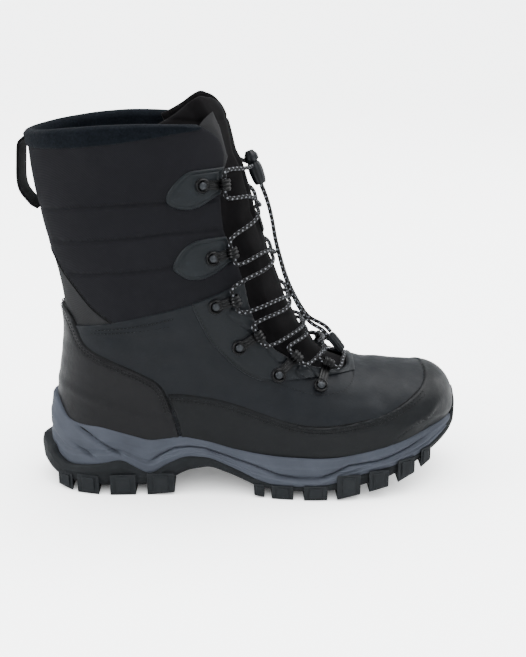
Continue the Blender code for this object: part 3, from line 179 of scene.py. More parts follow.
BUMPERS = [
    (0.00, 0.120), (0.05, 0.112), (0.10, 0.0), (0.90, 0.0), (0.955, 0.170), (0.975, 0.225),
    (1.00, 0.238),
]
EdgeLug = namedtuple("EdgeLug", "start end top proud")
EDGE_LUGS = [
    EdgeLug(-0.452, -0.416, 0.050, 0.0005),
    EdgeLug(-0.404, -0.352, 0.055, 0.0012),
    EdgeLug(-0.326, -0.266, 0.060, 0.0016),
    EdgeLug(-0.240, -0.176, 0.064, 0.0016),
    EdgeLug(0.008, 0.032, 0.040, 0.0008),
    EdgeLug(0.048, 0.098, 0.040, 0.0016),
    EdgeLug(0.122, 0.176, 0.042, 0.0020),
    EdgeLug(0.198, 0.252, 0.074, 0.0030),
    EdgeLug(0.272, 0.318, 0.082, 0.0034),
    EdgeLug(0.340, 0.382, 0.104, 0.0034),
    EdgeLug(0.398, 0.424, 0.120, 0.0028),
]
LUG_DEPTH = 0.46
LUG_SINK = 0.0022
MiddleLug = namedtuple("MiddleLug", "x y long wide turn")
MIDDLE_LUGS = [
    MiddleLug(-0.385, 0.00, 0.030, 0.22, 0),
    MiddleLug(-0.325, 0.00, 0.026, 0.26, 0),
    MiddleLug(-0.265, 0.00, 0.026, 0.26, 0),
    MiddleLug(-0.210, 0.00, 0.026, 0.22, 0),
    MiddleLug(0.040, 0.00, 0.028, 0.26, 0),
    MiddleLug(0.090, 0.11, 0.028, 0.17, 25),
    MiddleLug(0.090, -0.10, 0.028, 0.17, -25),
    MiddleLug(0.145, 0.12, 0.028, 0.18, 25),
    MiddleLug(0.145, -0.11, 0.028, 0.18, -25),
    MiddleLug(0.205, 0.12, 0.028, 0.18, 25),
    MiddleLug(0.205, -0.10, 0.028, 0.18, -25),
    MiddleLug(0.265, 0.13, 0.026, 0.16, 25),
    MiddleLug(0.265, -0.08, 0.026, 0.16, -25),
    MiddleLug(0.325, 0.03, 0.024, 0.28, 0),
    MiddleLug(0.372, 0.04, 0.022, 0.24, 0),
]
COUNTER_OUTLINE = [
    (-0.52, 0.512), (-0.431, 0.512), (-0.414, 0.504), (-0.399, 0.488), (-0.389, 0.462),
    (-0.379, 0.436), (-0.366, 0.414), (-0.326, 0.392), (-0.270, 0.362), (-0.236, 0.340),
    (-0.214, 0.325), (-0.200, 0.306), (-0.190, 0.279), (-0.180, 0.243), (-0.168, 0.200),
    (-0.155, 0.120), (-0.155, 0.060), (-0.52, 0.060),
]
RAND_OUTLINE = [
    (-0.187, 0.286), (-0.170, 0.288), (-0.136, 0.286), (-0.080, 0.277), (-0.023, 0.259),
    (0.044, 0.232), (0.112, 0.209), (0.180, 0.205), (0.250, 0.214), (0.309, 0.227),
    (0.358, 0.249), (0.398, 0.274), (0.419, 0.300), (0.424, 0.400), (0.540, 0.400),
    (0.540, 0.060), (-0.152, 0.060), (-0.152, 0.120), (-0.165, 0.200), (-0.177, 0.245),
]
EYESTAY_OUTLINE = [
    (-0.128, 0.566), (-0.128, 0.537), (-0.117, 0.507), (-0.104, 0.474), (-0.089, 0.439),
    (-0.067, 0.410), (-0.045, 0.380), (-0.022, 0.358), (0.000, 0.341), (0.034, 0.326),
    (0.057, 0.317), (0.092, 0.299), (0.127, 0.284), (0.151, 0.278), (0.187, 0.275),
    (0.209, 0.277), (0.228, 0.284), (0.241, 0.297), (0.248, 0.312), (0.252, 0.400),
    (0.180, 0.560), (0.060, 0.640), (-0.030, 0.608),
]
PATCHES = {
    "upper": [
        (-0.180, 0.824), (-0.170, 0.849), (-0.152, 0.872), (-0.135, 0.887), (-0.118, 0.893),
        (0.020, 0.894), (0.020, 0.826), (-0.061, 0.828), (-0.078, 0.817), (-0.095, 0.805),
        (-0.117, 0.794), (-0.138, 0.792), (-0.160, 0.798), (-0.175, 0.808),
    ],
    "lower": [
        (-0.170, 0.641), (-0.160, 0.668), (-0.147, 0.689), (-0.129, 0.707), (-0.096, 0.718),
        (0.050, 0.718), (0.050, 0.662), (-0.036, 0.656), (-0.054, 0.640), (-0.076, 0.622),
        (-0.098, 0.611), (-0.120, 0.609), (-0.142, 0.613), (-0.159, 0.628),
    ],
}
Hook = namedtuple("Hook", "x z loop_x loop_z base")
HOOKS = [
    Hook(-0.103, 0.852, -0.061, 0.850, "patch"),
    Hook(-0.082, 0.664, -0.043, 0.676, "patch"),
    Hook(-0.076, 0.538, -0.037, 0.552, "eyestay"),
    Hook(-0.025, 0.424, 0.014, 0.451, "eyestay"),
    Hook(0.063, 0.341, 0.097, 0.377, "eyestay"),
    Hook(0.158, 0.303, 0.172, 0.338, "eyestay"),
]
LACE = 0.0027
HOOK_PLATE = 0.0010
HOOK_RAISE = 0.0008
LOOP_WIDE = 0.0076
LOOP_BORE = LACE / 2 + 0.0011
Crossing = namedtuple("Crossing", "section lift")
CROSSINGS = [
    Crossing(13.9, 0.0033),
    Crossing(12.1, 0.0033),
    Crossing(11.1, 0.0033),
    Crossing(10.4, 0.0033),
    Crossing(9.5, 0.0036),
]
BAR = Crossing(8.6, 0.0046)
RUN_SHARES = (0.35, 0.70)
FRONT_SECTIONS = [8.0 + 0.1 * k for k in range(91)]
LACE_PAST_LOOP = 0.0042
FrontPlace = namedtuple("FrontPlace", "section aside lift")
LOCK_TOP = FrontPlace(16.07, -0.0010, 0.0074)
LOCK_BOTTOM = FrontPlace(14.70, -0.0020, 0.0093)
END_A = [
    FrontPlace(14.665, -0.0039, 0.0094), FrontPlace(14.10, -0.0042, 0.0103),
    FrontPlace(13.34, -0.0045, 0.0101), FrontPlace(12.58, -0.0050, 0.0084),
    FrontPlace(11.97, -0.0060, 0.0072), FrontPlace(11.53, -0.0075, 0.0066),
    FrontPlace(11.13, -0.0090, 0.0074), FrontPlace(10.76, -0.0102, 0.0085),
    FrontPlace(10.43, -0.0112, 0.0100), FrontPlace(10.18, -0.0118, 0.0125),
    FrontPlace(9.89, -0.0120, 0.0145), FrontPlace(9.55, -0.0121, 0.0138),
]
END_B = [
    FrontPlace(14.665, -0.0001, 0.0094), FrontPlace(14.08, 0.0000, 0.0102),
    FrontPlace(13.29, -0.0003, 0.0098), FrontPlace(12.52, -0.0010, 0.0081),
    FrontPlace(11.94, -0.0020, 0.0071), FrontPlace(11.50, -0.0035, 0.0066),
    FrontPlace(11.12, -0.0050, 0.0074), FrontPlace(10.78, -0.0062, 0.0086),
    FrontPlace(10.49, -0.0073, 0.0104), FrontPlace(10.26, -0.0079, 0.0135),
    FrontPlace(9.94, -0.0081, 0.0160), FrontPlace(9.52, -0.0082, 0.0155),
]
CLIP_LENGTH = 0.0150
CLIP_RADIUS = 0.0036
CLIP_CLEAR = 0.0006
KEEPER_SECTIONS = (13.55, 12.95)
KEEPER_HALF = 0.0080
KEEPER_THICK = 0.0012
LoopPoint = namedtuple("LoopPoint", "z off")
PULL_LOOP_OUT = [
    LoopPoint(0.775, 0.0012),
    LoopPoint(0.792, 0.0026),
    LoopPoint(0.820, 0.0058),
    LoopPoint(0.855, 0.0076),
    LoopPoint(0.895, 0.0078),
    LoopPoint(0.930, 0.0064),
    LoopPoint(0.952, 0.0036),
    LoopPoint(0.962, 0.0012),
]
PULL_STRAP = 0.0016
PULL_WIDE = 0.020

# Lines that are drawn on the side of the boot, for this script alone: quilting seams of the
# shaft, the edge of the insert at the back, and the collar band's seam.
QUILTS = [
    [(-0.560, 0.765), (-0.444, 0.783), (-0.364, 0.797), (-0.276, 0.807), (-0.200, 0.812), (0.05, 0.815)],
    [(-0.560, 0.680), (-0.431, 0.697), (-0.302, 0.715), (-0.236, 0.723), (-0.172, 0.733), (0.05, 0.740)],
    [(-0.560, 0.590), (-0.399, 0.612), (-0.328, 0.621), (-0.239, 0.633), (-0.150, 0.645), (0.05, 0.655)],
]
INSERT = [
    (-0.540, 0.760), (-0.470, 0.700), (-0.451, 0.667), (-0.439, 0.652), (-0.425, 0.624),
    (-0.406, 0.596), (-0.383, 0.565), (-0.356, 0.526), (-0.333, 0.507), (-0.300, 0.482),
    (-0.270, 0.455),
]
BAND_SEAM = [
    (-0.560, 0.930), (-0.486, 0.938), (-0.420, 0.944), (-0.350, 0.952), (-0.270, 0.963),
    (-0.200, 0.975), (-0.140, 0.985), (-0.100, 0.990), (-0.060, 1.010),
]
# Soft creases of the leather and the shaft: line, depth, half width, and the side it lies on,
# -1 outer, 1 inner and 0 both.
Crease = namedtuple("Crease", "line depth reach side")
CREASES = [
    Crease([(-0.300, 0.452), (-0.230, 0.440), (-0.160, 0.446)], 0.0007, 0.009, 0),
    Crease([(-0.100, 0.330), (-0.020, 0.300), (0.060, 0.275)], 0.0006, 0.010, 0),
    Crease([(0.200, 0.270), (0.250, 0.262), (0.300, 0.268)], 0.0005, 0.008, 0),
    Crease([(0.262, 0.335), (0.285, 0.290), (0.300, 0.255)], 0.0006, 0.007, 0),
    Crease([(-0.330, 0.470), (-0.260, 0.500), (-0.190, 0.505)], 0.0008, 0.010, 0),
    Crease([(-0.200, 0.560), (-0.150, 0.575), (-0.110, 0.600)], 0.0007, 0.008, 0),
    Crease([(-0.440, 0.860), (-0.400, 0.868), (-0.350, 0.862)], 0.0006, 0.010, -1),
    Crease([(-0.300, 0.900), (-0.240, 0.905), (-0.200, 0.895)], 0.0005, 0.010, 0),
]


# Shape of the boot


def spline(knots, values, at):
    """A natural cubic spline through the values, read at the places asked for."""
    x = np.asarray(knots, float)
    y = np.asarray(values, float)
    n = len(x)
    h = np.diff(x)
    matrix = np.eye(n)
    right = np.zeros(n)
    for i in range(1, n - 1):
        matrix[i, i - 1 : i + 2] = h[i - 1], 2 * (h[i - 1] + h[i]), h[i]
        right[i] = 6 * ((y[i + 1] - y[i]) / h[i] - (y[i] - y[i - 1]) / h[i - 1])
    bend = np.linalg.solve(matrix, right)
    at = np.clip(np.asarray(at, float), x[0], x[-1])
    i = np.clip(np.searchsorted(x, at) - 1, 0, n - 2)
    a = (x[i + 1] - at) / h[i]
    b = (at - x[i]) / h[i]
    return a * y[i] + b * y[i + 1] + ((a**3 - a) * bend[i] + (b**3 - b) * bend[i + 1]) * h[i] ** 2 / 6


def smooth(value):
    value = np.clip(value, 0, 1)
    return value * value * (3 - 2 * value)


def quarter_circle(dist, radius):
    """Rises along a quarter circle, from 0 at an edge to 1 at the radius."""
    return np.sqrt(1 - (1 - np.clip(dist / radius, 0, 1)) ** 2)


def bell(away, reach):
    """Falls off on both sides of 0 in the shape of a bell."""
    return np.exp(-((away / reach) ** 2))


def dome(share):
    rest = 1 - np.clip(share, 0, 1)
    return (1 - rest**ROUNDNESS) ** (1 / ROUNDNESS)


@functools.cache
def section(v):
    """The section at number v, its lengths in metres."""
    at = range(len(SECTIONS))
    found = [float(spline(at, [getattr(s, name) for s in SECTIONS], v)) for name in Section._fields]
    back_x, back_z, front_x, front_z, back_depth, front_depth, sag, power = found
    return Section(
        back_x * SOLE_LENGTH,
        back_z * COLLAR_HEIGHT,
        front_x * SOLE_LENGTH,
        front_z * COLLAR_HEIGHT,
        back_depth * COLLAR_HEIGHT,
        front_depth * COLLAR_HEIGHT,
        sag * COLLAR_HEIGHT,
        power,
    )


def side_line(v, t):
    s = section(v)
    x = s.back_x + (s.front_x - s.back_x) * t
    z = s.back_z + (s.front_z - s.back_z) * t + s.sag * np.sin(math.pi * t**s.sag_power)
    return x, z


PROFILE = [section(v) for v in np.linspace(0, len(SECTIONS) - 1, 181)]
BACK_Z = np.array([s.back_z for s in PROFILE])
BACK_X = np.array([s.back_x for s in PROFILE])
BACK_DEPTH = np.array([s.back_depth for s in PROFILE])
CREST = np.array([(s.front_x, s.front_z) for s in PROFILE])
CREST_DEPTH = np.array([s.front_depth for s in PROFILE])


def line_distance(x, z, line):
    """Distance to a line, the place along it, and whether the point lies on its front side."""
    x, z = np.ravel(x), np.ravel(z)
    line = np.asarray(line, float)
    away = np.empty(len(x))
    place = np.empty(len(x))
    front = np.empty(len(x), bool)
    start, run = line[:-1], np.diff(line, axis=0)
    for low in range(0, len(x), 8000):
        part = slice(low, low + 8000)
        from_start = np.stack([x[part], z[part]], -1)[:, None, :] - start
        share = np.clip((from_start * run).sum(-1) / (run * run).sum(-1), 0, 1)
        far = np.linalg.norm(from_start - share[..., None] * run, axis=-1)
        nearest = far.argmin(1)
        rows = np.arange(len(nearest))
        from_nearest = from_start[rows, nearest]
        turn = run[nearest, 0] * from_nearest[:, 1] - run[nearest, 1] * from_nearest[:, 0]
        away[part] = far[rows, nearest]
        place[part] = nearest + share[rows, nearest]
        front[part] = turn > 0
    return away, place, front


def metres(outline):
    return np.array(outline, float) * (SOLE_LENGTH, COLLAR_HEIGHT)


def line_away(x, z, line):
    """Distance to a line drawn on the side."""
    return line_distance(x, z, metres(line))[0].reshape(x.shape)


def signed_line(x, z, line):
    """Distance to a line drawn on the side, above 0 on its left."""
    away, _, left = line_distance(x, z, metres(line))
    return np.where(left, away, -away).reshape(np.shape(x))


def corners_cut(points, following):
    """For each point two others, a quarter and three quarters of the way to the next."""
    early = points * 0.75 + following * 0.25
    late = points * 0.25 + following * 0.75
    return np.stack([early, late], 1).reshape(-1, 2)


def rounded(outline):
    """A closed outline with its corners cut twice."""
    points = np.array(outline, float)
    for _ in range(2):
        points = corners_cut(points, np.roll(points, -1, axis=0))
    return points


def softened(outline):
    """An open line with its corners cut twice and its ends kept."""
    points = np.array(outline, float)
    for _ in range(2):
        points = np.concatenate([points[:1], corners_cut(points[:-1], points[1:]), points[-1:]])
    return points


def inside_outline(x, z, outline):
    """Distance to a closed outline drawn on the side, above 0 inside it."""
    line = metres(outline)
    closed = np.concatenate([line, line[:1]])
    away, _, _ = line_distance(x, z, closed)
    px, pz = np.ravel(x), np.ravel(z)
    inside = np.zeros(len(px), bool)
    for (ax, az), (bx, bz) in zip(closed[:-1], closed[1:]):
        if az != bz:
            crossed = (az > pz) != (bz > pz)
            inside ^= crossed & (px < (bx - ax) * (pz - az) / (bz - az) + ax)
    return np.where(inside, away, -away).reshape(np.shape(x))


def foot(x, column):
    knots = [row.x * SOLE_LENGTH for row in FOOT]
    return spline(knots, [getattr(row, column) * BALL_WIDTH for row in FOOT], x)


def half_width(x, z, side):
    """How far the upper's surface stands from its middle line, seen from the side at (x, z)."""
    shaft = spline([h * COLLAR_HEIGHT for h, _ in SHAFT], [w * SHAFT_WIDTH for _, w in SHAFT], z)
    rise = smooth((z - ANKLE_LOW) / (ANKLE_HIGH - ANKLE_LOW))
    full = foot(x, "outer" if side < 0 else "inner") * (1 - rise) + shaft * rise
    feather_x, feather_z = side_line(0.0, np.linspace(0, 1, 60))
    over = (z - np.interp(x, feather_x, feather_z)) / TUCK_HEIGHT
    tuck = 1 - FEATHER_TUCK * (1 - np.clip(over, 0, 1)) ** 2
    back = (x - np.interp(z, BACK_Z, BACK_X)) / np.interp(z, BACK_Z, BACK_DEPTH)
    away, place, _ = line_distance(x, z, CREST)
    depth = np.interp(place, np.arange(len(CREST)), CREST_DEPTH)
    return full * tuck * dome(back) * dome(away / depth)


@functools.cache
def half_ring(v, side):
    """Fine points from the back to the crest on one side."""
    t = (1 - np.cos(np.linspace(0, math.pi, 260))) / 2
    x, z = side_line(v, t)
    width = half_width(x, z, side)
    width[0] = width[-1] = 0.0
    return np.stack([x, foot(x, "centre") + side * width, z], 1)


def spaced(points, count):
    """The line again with count even steps."""
    length = np.linalg.norm(np.diff(points, axis=0), axis=1)
    along = np.concatenate([[0], np.cumsum(length)])
    at = np.linspace(0, along[-1], count + 1)
    return np.stack([np.interp(at, along, points[:, k]) for k in range(3)], 1)


def ring(v, columns):
    """Points from the crest along the outer side, round the back and along the inner side."""
    outer = spaced(half_ring(v, -1), columns)
    inner = spaced(half_ring(v, 1), columns)
    return np.concatenate([outer[::-1], inner[1:]])


def normals(rows):
    """Outward unit normals of a grid of rings."""
    along = np.gradient(rows, axis=0)
    round_it = np.gradient(rows, axis=1)
    for j, row in enumerate(rows):
        if np.linalg.norm(row[0] - row[-1]) < 1e-6:
            round_it[j, 0] = round_it[j, -1] = row[1] - row[-2]
    found = np.cross(round_it, along)
    found /= np.maximum(np.linalg.norm(found, axis=2, keepdims=True), 1e-12)
    if (found * (rows - rows.mean(axis=1, keepdims=True))).sum() < 0:
        found = -found
    return found


Sheet = namedtuple("Sheet", "rows out v side x z")


def section_numbers(*spans):
    """Section numbers of one or more spans, each with its low end, high end and count."""
    return tuple(np.round(np.concatenate([np.linspace(*span) for span in spans]), 5))


@functools.cache
def surface_sheet(sections, columns):
    """A fine grid of the upper's surface at the section numbers, with its normals."""
    rows = np.array([ring(float(v), columns) for v in sections])
    side = np.ones(rows.shape[:2])
    side[:, : columns + 1] = -1
    v = np.repeat(np.array(sections)[:, None], rows.shape[1], 1)
    return Sheet(rows, normals(rows), v, side, rows[..., 0], rows[..., 2])


def over_surface(x, z, side, lift):
    """A point over the upper, seen from the side at (x, z), and the outward direction there."""
    step = 0.001
    xs = np.array([x, x - step, x + step, x, x])
    zs = np.array([z, z, z, z - step, z + step])
    y = foot(xs, "centre") + side * half_width(xs, zs, side)
    out = Vector((-(y[2] - y[1]) / (2 * step), 1, -(y[4] - y[3]) / (2 * step))) * side
    out.normalize()
    return Vector((x, y[0], z)) + out * lift, out


@functools.cache
def front_lines(side):
    lines = []
    for v in FRONT_SECTIONS:
        line = half_ring(v, side)[::-1]
        lines.append(line[: int(np.abs(line[:, 1] - line[0, 1]).argmax()) + 1])
    return lines


def front_points(y):
    found = []
    for line in front_lines(-1 if y < 0 else 1):
        away = np.abs(line[:, 1] - line[0, 1])
        found.append([np.interp(abs(y), away, line[:, k]) for k in range(3)])
    return np.array(found)


def over_front(v, y, lift):
    """A point over the front of the upper, by section and distance to the side of its crest."""
    step = 0.0005
    near, here, far = (front_points(y + way * step) for way in (-1, 0, 1))
    along = np.gradient(here, axis=0)
    out = np.cross(along, far - near)
    out *= np.sign(out[:, :1])
    out /= np.maximum(np.linalg.norm(out, axis=1), 1e-12)[:, None]
    raised = here + out * lift
    return Vector([float(np.interp(v, FRONT_SECTIONS, raised[:, k])) for k in range(3)])


def front_place(place):
    return over_front(place.section, place.aside, place.lift)


def hook_base(hook):
    return PATCH + 2 * GAP if hook.base == "patch" else QUARTER_STEP + OVERLAY + 2 * GAP


def hook_places(hook, side):
    """The hook's rivet place and direction, its loop's middle, and the directions of its arm."""
    rivet, rivet_out = over_surface(hook.x * SOLE_LENGTH, hook.z * COLLAR_HEIGHT, side, hook_base(hook))
    foot_point, loop_out = over_surface(
        hook.loop_x * SOLE_LENGTH, hook.loop_z * COLLAR_HEIGHT, side, hook_base(hook)
    )
    along = (foot_point - rivet).normalized()
    out = rivet_out + loop_out
    out = (out - along * out.dot(along)).normalized()
    across = out.cross(along)
    if across.z < 0:
        across = -across
    middle = foot_point + out * (HOOK_RAISE + LOOP_BORE + HOOK_PLATE)
    return rivet, rivet_out, foot_point, middle, along, out, across


def lace_run(start, out, high, crossing, between):
    """A strand's way over the tongue from a hook to the middle, without its ends."""
    under = start - out * high
    y = under.y - float(foot(under.x, "centre"))
    v = FRONT_SECTIONS[int(np.linalg.norm(front_points(y) - np.array(under), axis=1).argmin())]
    places = []
    for share in between:
        lift = high + (crossing.lift - high) * share
        places.append(over_front(v + (crossing.section - v) * share, y * (1 - share), lift))
    return places


def lace_route(first_side, rise=0.0):
    """Places that one strand passes, from the cord lock down to the bar over the throat's end."""
    lock = (front_place(LOCK_TOP) * 2 + front_place(LOCK_BOTTOM)) / 3
    places = []
    side = first_side
    for number, hook in enumerate(HOOKS):
        _, _, _, middle, _, out, across = hook_places(hook, side)
        high = hook_base(hook) + HOOK_RAISE + HOOK_PLATE + LOOP_BORE
        past = across * (LOOP_WIDE / 2 + LACE_PAST_LOOP)
        if number == 0:
            start = lock
            places.append(start)
            places.append((start + middle + past) / 2 + Vector((LACE, 0, 0)))
        else:
            places += lace_run(middle + past, out, high, CROSSINGS[number - 1], RUN_SHARES[::-1])
        places += [middle + past, middle, middle - past]
        if number < len(CROSSINGS):
            places += lace_run(middle - past, out, high, CROSSINGS[number], RUN_SHARES)
            crossing = CROSSINGS[number]
            places.append(over_front(crossing.section, 0.0, crossing.lift + rise * (-1) ** number))
        side = -side
    places += lace_run(middle - past, out, high, BAR, RUN_SHARES)
    places.append(over_front(BAR.section, 0.0, BAR.lift))
    return places


def smooth_line(places):
    points = np.array(places)
    at = np.concatenate([[0], np.cumsum(np.sqrt(np.linalg.norm(np.diff(points, axis=0), axis=1)))])
    fine = np.linspace(0, at[-1], 40 * len(points))
    return np.stack([spline(at, points[:, k], fine) for k in range(3)], 1)


def even_steps(line, step):
    length = float(np.linalg.norm(np.diff(line, axis=0), axis=1).sum())
    return spaced(line, max(2, round(length / step)))


def sole_height(x, column):
    knots = [row.x * SOLE_LENGTH for row in SOLE]
    return np.interp(x, knots, [getattr(row, column) * COLLAR_HEIGHT for row in SOLE])


def soft_height(x, column):
    """The same height with its corners eased."""
    reach = 0.004
    return sum(sole_height(x + reach * k / 2, column) for k in range(-2, 3)) / 5


def sole_plan(column, extra, columns):
    """The sole's outline from above, out from the upper by its margin, heel to toe, one side each."""
    sides = []
    for side in (-1, 1):
        line = spaced(half_ring(SOLE_SECTION, side), columns)
        run = np.gradient(line[:, :2], axis=0)
        run[0] = (0, side)
        run[-1] = (0, -side)
        out = np.stack([-run[:, 1], run[:, 0]], 1) * side
        out /= np.linalg.norm(out, axis=1)[:, None]
        way = np.linspace(0, 1, columns + 1)
        margin = np.interp(way, [m.way for m in MARGINS], [getattr(m, column) for m in MARGINS])
        sides.append((line[:, :2] + out * (margin + extra)[:, None], out))
    return sides


# Mesh helpers


def place_piece(name, mesh, finish, *replaced, slot=None):
    """Links a finished mesh in the boot's frame and ties it to the CAD."""
    mesh.transform(Matrix.Translation(SHIFT))
    made = bpy.data.objects.new(name, mesh)
    bpy.context.scene.collection.objects.link(made)
    if finish:
        mesh.materials.append(finish)
    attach(made, "root")
    if replaced:
        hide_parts(*replaced)
    return made


def mesh_of(name, points, faces, smooth_angle=50):
    mesh = bpy.data.meshes.new(name)
    mesh.from_pydata([tuple(p) for p in points], [], faces)
    bm = bmesh.new()
    bm.from_mesh(mesh)
    bmesh.ops.remove_doubles(bm, verts=bm.verts, dist=2e-5)
    bmesh.ops.dissolve_degenerate(bm, dist=1e-6, edges=bm.edges)
    bm.to_mesh(mesh)
    bm.free()
    mesh.shade_smooth()
    mesh.set_sharp_from_angle(angle=math.radians(smooth_angle))
    return mesh


def cut_grid(base, out, dist, lift, edge_lift):
    """The part of a grid where dist is above 0, cut cleanly along dist = 0.

    Returns points and faces. lift holds how far each vertex stands off, and edge_lift the same
    for the vertices that the cut makes.
    """
    points = (base + out * lift[..., None]).reshape(-1, 3)
    flat_base, flat_out, flat_dist = base.reshape(-1, 3), out.reshape(-1, 3), dist.reshape(-1)
    count, across = dist.shape
    keep = flat_dist > 0
    made_points = list(points)
    crossings = {}

    def crossing(a, b):
        key = (min(a, b), max(a, b))
        if key not in crossings:
            share = flat_dist[key[0]] / (flat_dist[key[0]] - flat_dist[key[1]])
            way = flat_base[key[0]] * (1 - share) + flat_base[key[1]] * share
            normal = flat_out[key[0]] * (1 - share) + flat_out[key[1]] * share
            crossings[key] = len(made_points)
            made_points.append(way + normal * edge_lift)
        return crossings[key]

    index = np.arange(count * across).reshape(count, across)
    corners = np.stack(
        [index[:-1, :-1], index[:-1, 1:], index[1:, 1:], index[1:, :-1]], -1
    ).reshape(-1, 4)
    kept = keep[corners]
    faces = [tuple(face) for face in corners[kept.all(1)].tolist()]
    for face, inside in zip(corners[kept.any(1) & ~kept.all(1)].tolist(), kept[kept.any(1) & ~kept.all(1)]):
        polygon = []
        for k in range(4):
            a, b = face[k], face[(k + 1) % 4]
            if inside[k]:
                polygon.append(a)
            if inside[k] != inside[(k + 1) % 4]:
                polygon.append(crossing(a, b))
        if len(polygon) > 2:
            faces.append(tuple(polygon))
    used = sorted({i for face in faces for i in face})
    renumber = {old: new for new, old in enumerate(used)}
    return [made_points[i] for i in used], [tuple(renumber[i] for i in face) for face in faces]


def mesh_from(bm, name, sharp=0):
    """A mesh from a bmesh, shaded smooth except at edges sharper than the angle, if one is given."""
    mesh = bpy.data.meshes.new(name)
    bm.to_mesh(mesh)
    bm.free()
    if sharp:
        mesh.shade_smooth()
        mesh.set_sharp_from_angle(angle=math.radians(sharp))
    return mesh


def turn_outward(mesh, weld=0.0):
    """Turns a closed mesh's faces outward, after welding points that lie nearer than weld."""
    bm = bmesh.new()
    bm.from_mesh(mesh)
    if weld:
        bmesh.ops.remove_doubles(bm, verts=bm.verts, dist=weld)
    bmesh.ops.recalc_face_normals(bm, faces=bm.faces)
    bm.to_mesh(mesh)
    bm.free()


def close_rings(bm, rings):
    """Faces between rings of points and over both ends, turned outward."""
    count = len(rings[0])
    for low, high in zip(rings, rings[1:]):
        for i in range(count):
            j = (i + 1) % count
            bm.faces.new((low[i], low[j], high[j], high[i]))
    bm.faces.new(rings[0][::-1])
    bm.faces.new(rings[-1])
    bmesh.ops.recalc_face_normals(bm, faces=bm.faces)


def close_rings_with_uvs(bm, uv, rings, along, across):
    """The same for a cord or a tape, with UVs: a value for each ring and one for each point."""
    count = len(rings[0])
    for k in range(len(rings) - 1):
        near, far = along[k], along[k + 1]
        for i in range(count):
            j = (i + 1) % count
            face = bm.faces.new((rings[k][i], rings[k + 1][i], rings[k + 1][j], rings[k][j]))
            first, second = across[i], across[i + 1]
            places = ((near, first), (far, first), (far, second), (near, second))
            for loop, place in zip(face.loops, places):
                loop[uv].uv = place
    bm.faces.new(rings[0][::-1])
    bm.faces.new(rings[-1])
    bmesh.ops.recalc_face_normals(bm, faces=bm.faces)


def facing(mesh, centre):
    """Turns a sheet's faces so that they look away from a point, area-weighted."""
    total = 0.0
    for face in mesh.polygons:
        total += face.normal.dot(face.center - centre) * face.area
    if total < 0:
        mesh.flip_normals()


def rounded_edge(dist, height, radius, sink):
    """Height of a sheet near its edge: it rises from below the surface along a quarter circle."""
    return -sink + (height + sink) * quarter_circle(dist, radius)


def path_tube(name, points, radius, sides):
    """A tube along points, with UVs: along in metres, round from 0 to 1."""
    points = np.asarray(points, float)
    way = np.gradient(points, axis=0)
    way /= np.linalg.norm(way, axis=1)[:, None]
    normal = np.cross(way[0], (0.0, 1.0, 0.3))
    normal /= np.linalg.norm(normal)
    frames = []
    for k in range(len(points)):
        normal = normal - way[k] * np.dot(normal, way[k])
        normal /= np.linalg.norm(normal)
        frames.append((normal.copy(), np.cross(way[k], normal)))
    along = np.concatenate([[0], np.cumsum(np.linalg.norm(np.diff(points, axis=0), axis=1))])
    bm = bmesh.new()
    uv = bm.loops.layers.uv.new("UVMap")
    rings = []
    turns = [2 * math.pi * i / sides for i in range(sides)]
    for point, (a, b) in zip(points, frames):
        rings.append([bm.verts.new(point + radius * (a * math.cos(t) + b * math.sin(t))) for t in turns])
    close_rings_with_uvs(bm, uv, rings, along, [i / sides for i in range(sides + 1)])
    return mesh_from(bm, name, 60)


def joined(name, meshes):
    """Several meshes as one."""
    bm = bmesh.new()
    for mesh in meshes:
        bm.from_mesh(mesh)
    return mesh_from(bm, name, 50)


def turned_mesh(name, profile, sides, place, way, ridges=0, ridge_depth=0.0):
    """A profile turned round an axis, as a closed mesh; ridges run along its side."""
    bm = bmesh.new()
    rings = []
    for radius, height in profile:
        row = []
        for i in range(sides):
            angle = 2 * math.pi * i / sides
            groove = ridge_depth * (0.5 + 0.5 * math.cos(ridges * angle))
            r = radius - (groove if radius > ridge_depth * 2 else 0)
            row.append(bm.verts.new((r * math.cos(angle), r * math.sin(angle), height)))
        rings.append(row)
    close_rings(bm, rings)
    turn = Vector(way).to_track_quat("Z", "Y").to_matrix().to_4x4()
    bm.transform(Matrix.Translation(place) @ turn)
    return mesh_from(bm, name, 45)


def strap_mesh(name, places, outs, across, width, thick):
    """A flat tape with rounded edges, with UVs in metres along and across."""
    bm = bmesh.new()
    uv = bm.loops.layers.uv.new("UVMap")
    around = []
    steps = 6
    for k in range(steps + 1):
        angle = math.pi / 2 - math.pi * k / steps
        wide = 0.5 * width - thick / 2 + thick / 2 * math.cos(angle)
        around.append((wide, thick / 2 * math.sin(angle)))
    for k in range(steps + 1):
        angle = -math.pi / 2 - math.pi * k / steps
        wide = -0.5 * width + thick / 2 + thick / 2 * math.cos(angle)
        around.append((wide, thick / 2 * math.sin(angle)))
    rings = []
    for place, out in zip(places, outs):
        rings.append([bm.verts.new(place + across * w + out * h) for w, h in around])
    along = np.concatenate([[0], np.cumsum([(a - b).length for a, b in zip(places, places[1:])])])
    close_rings_with_uvs(bm, uv, rings, along, [w for w, _ in around] + [around[0][0]])
    return mesh_from(bm, name, 60)


# Materials


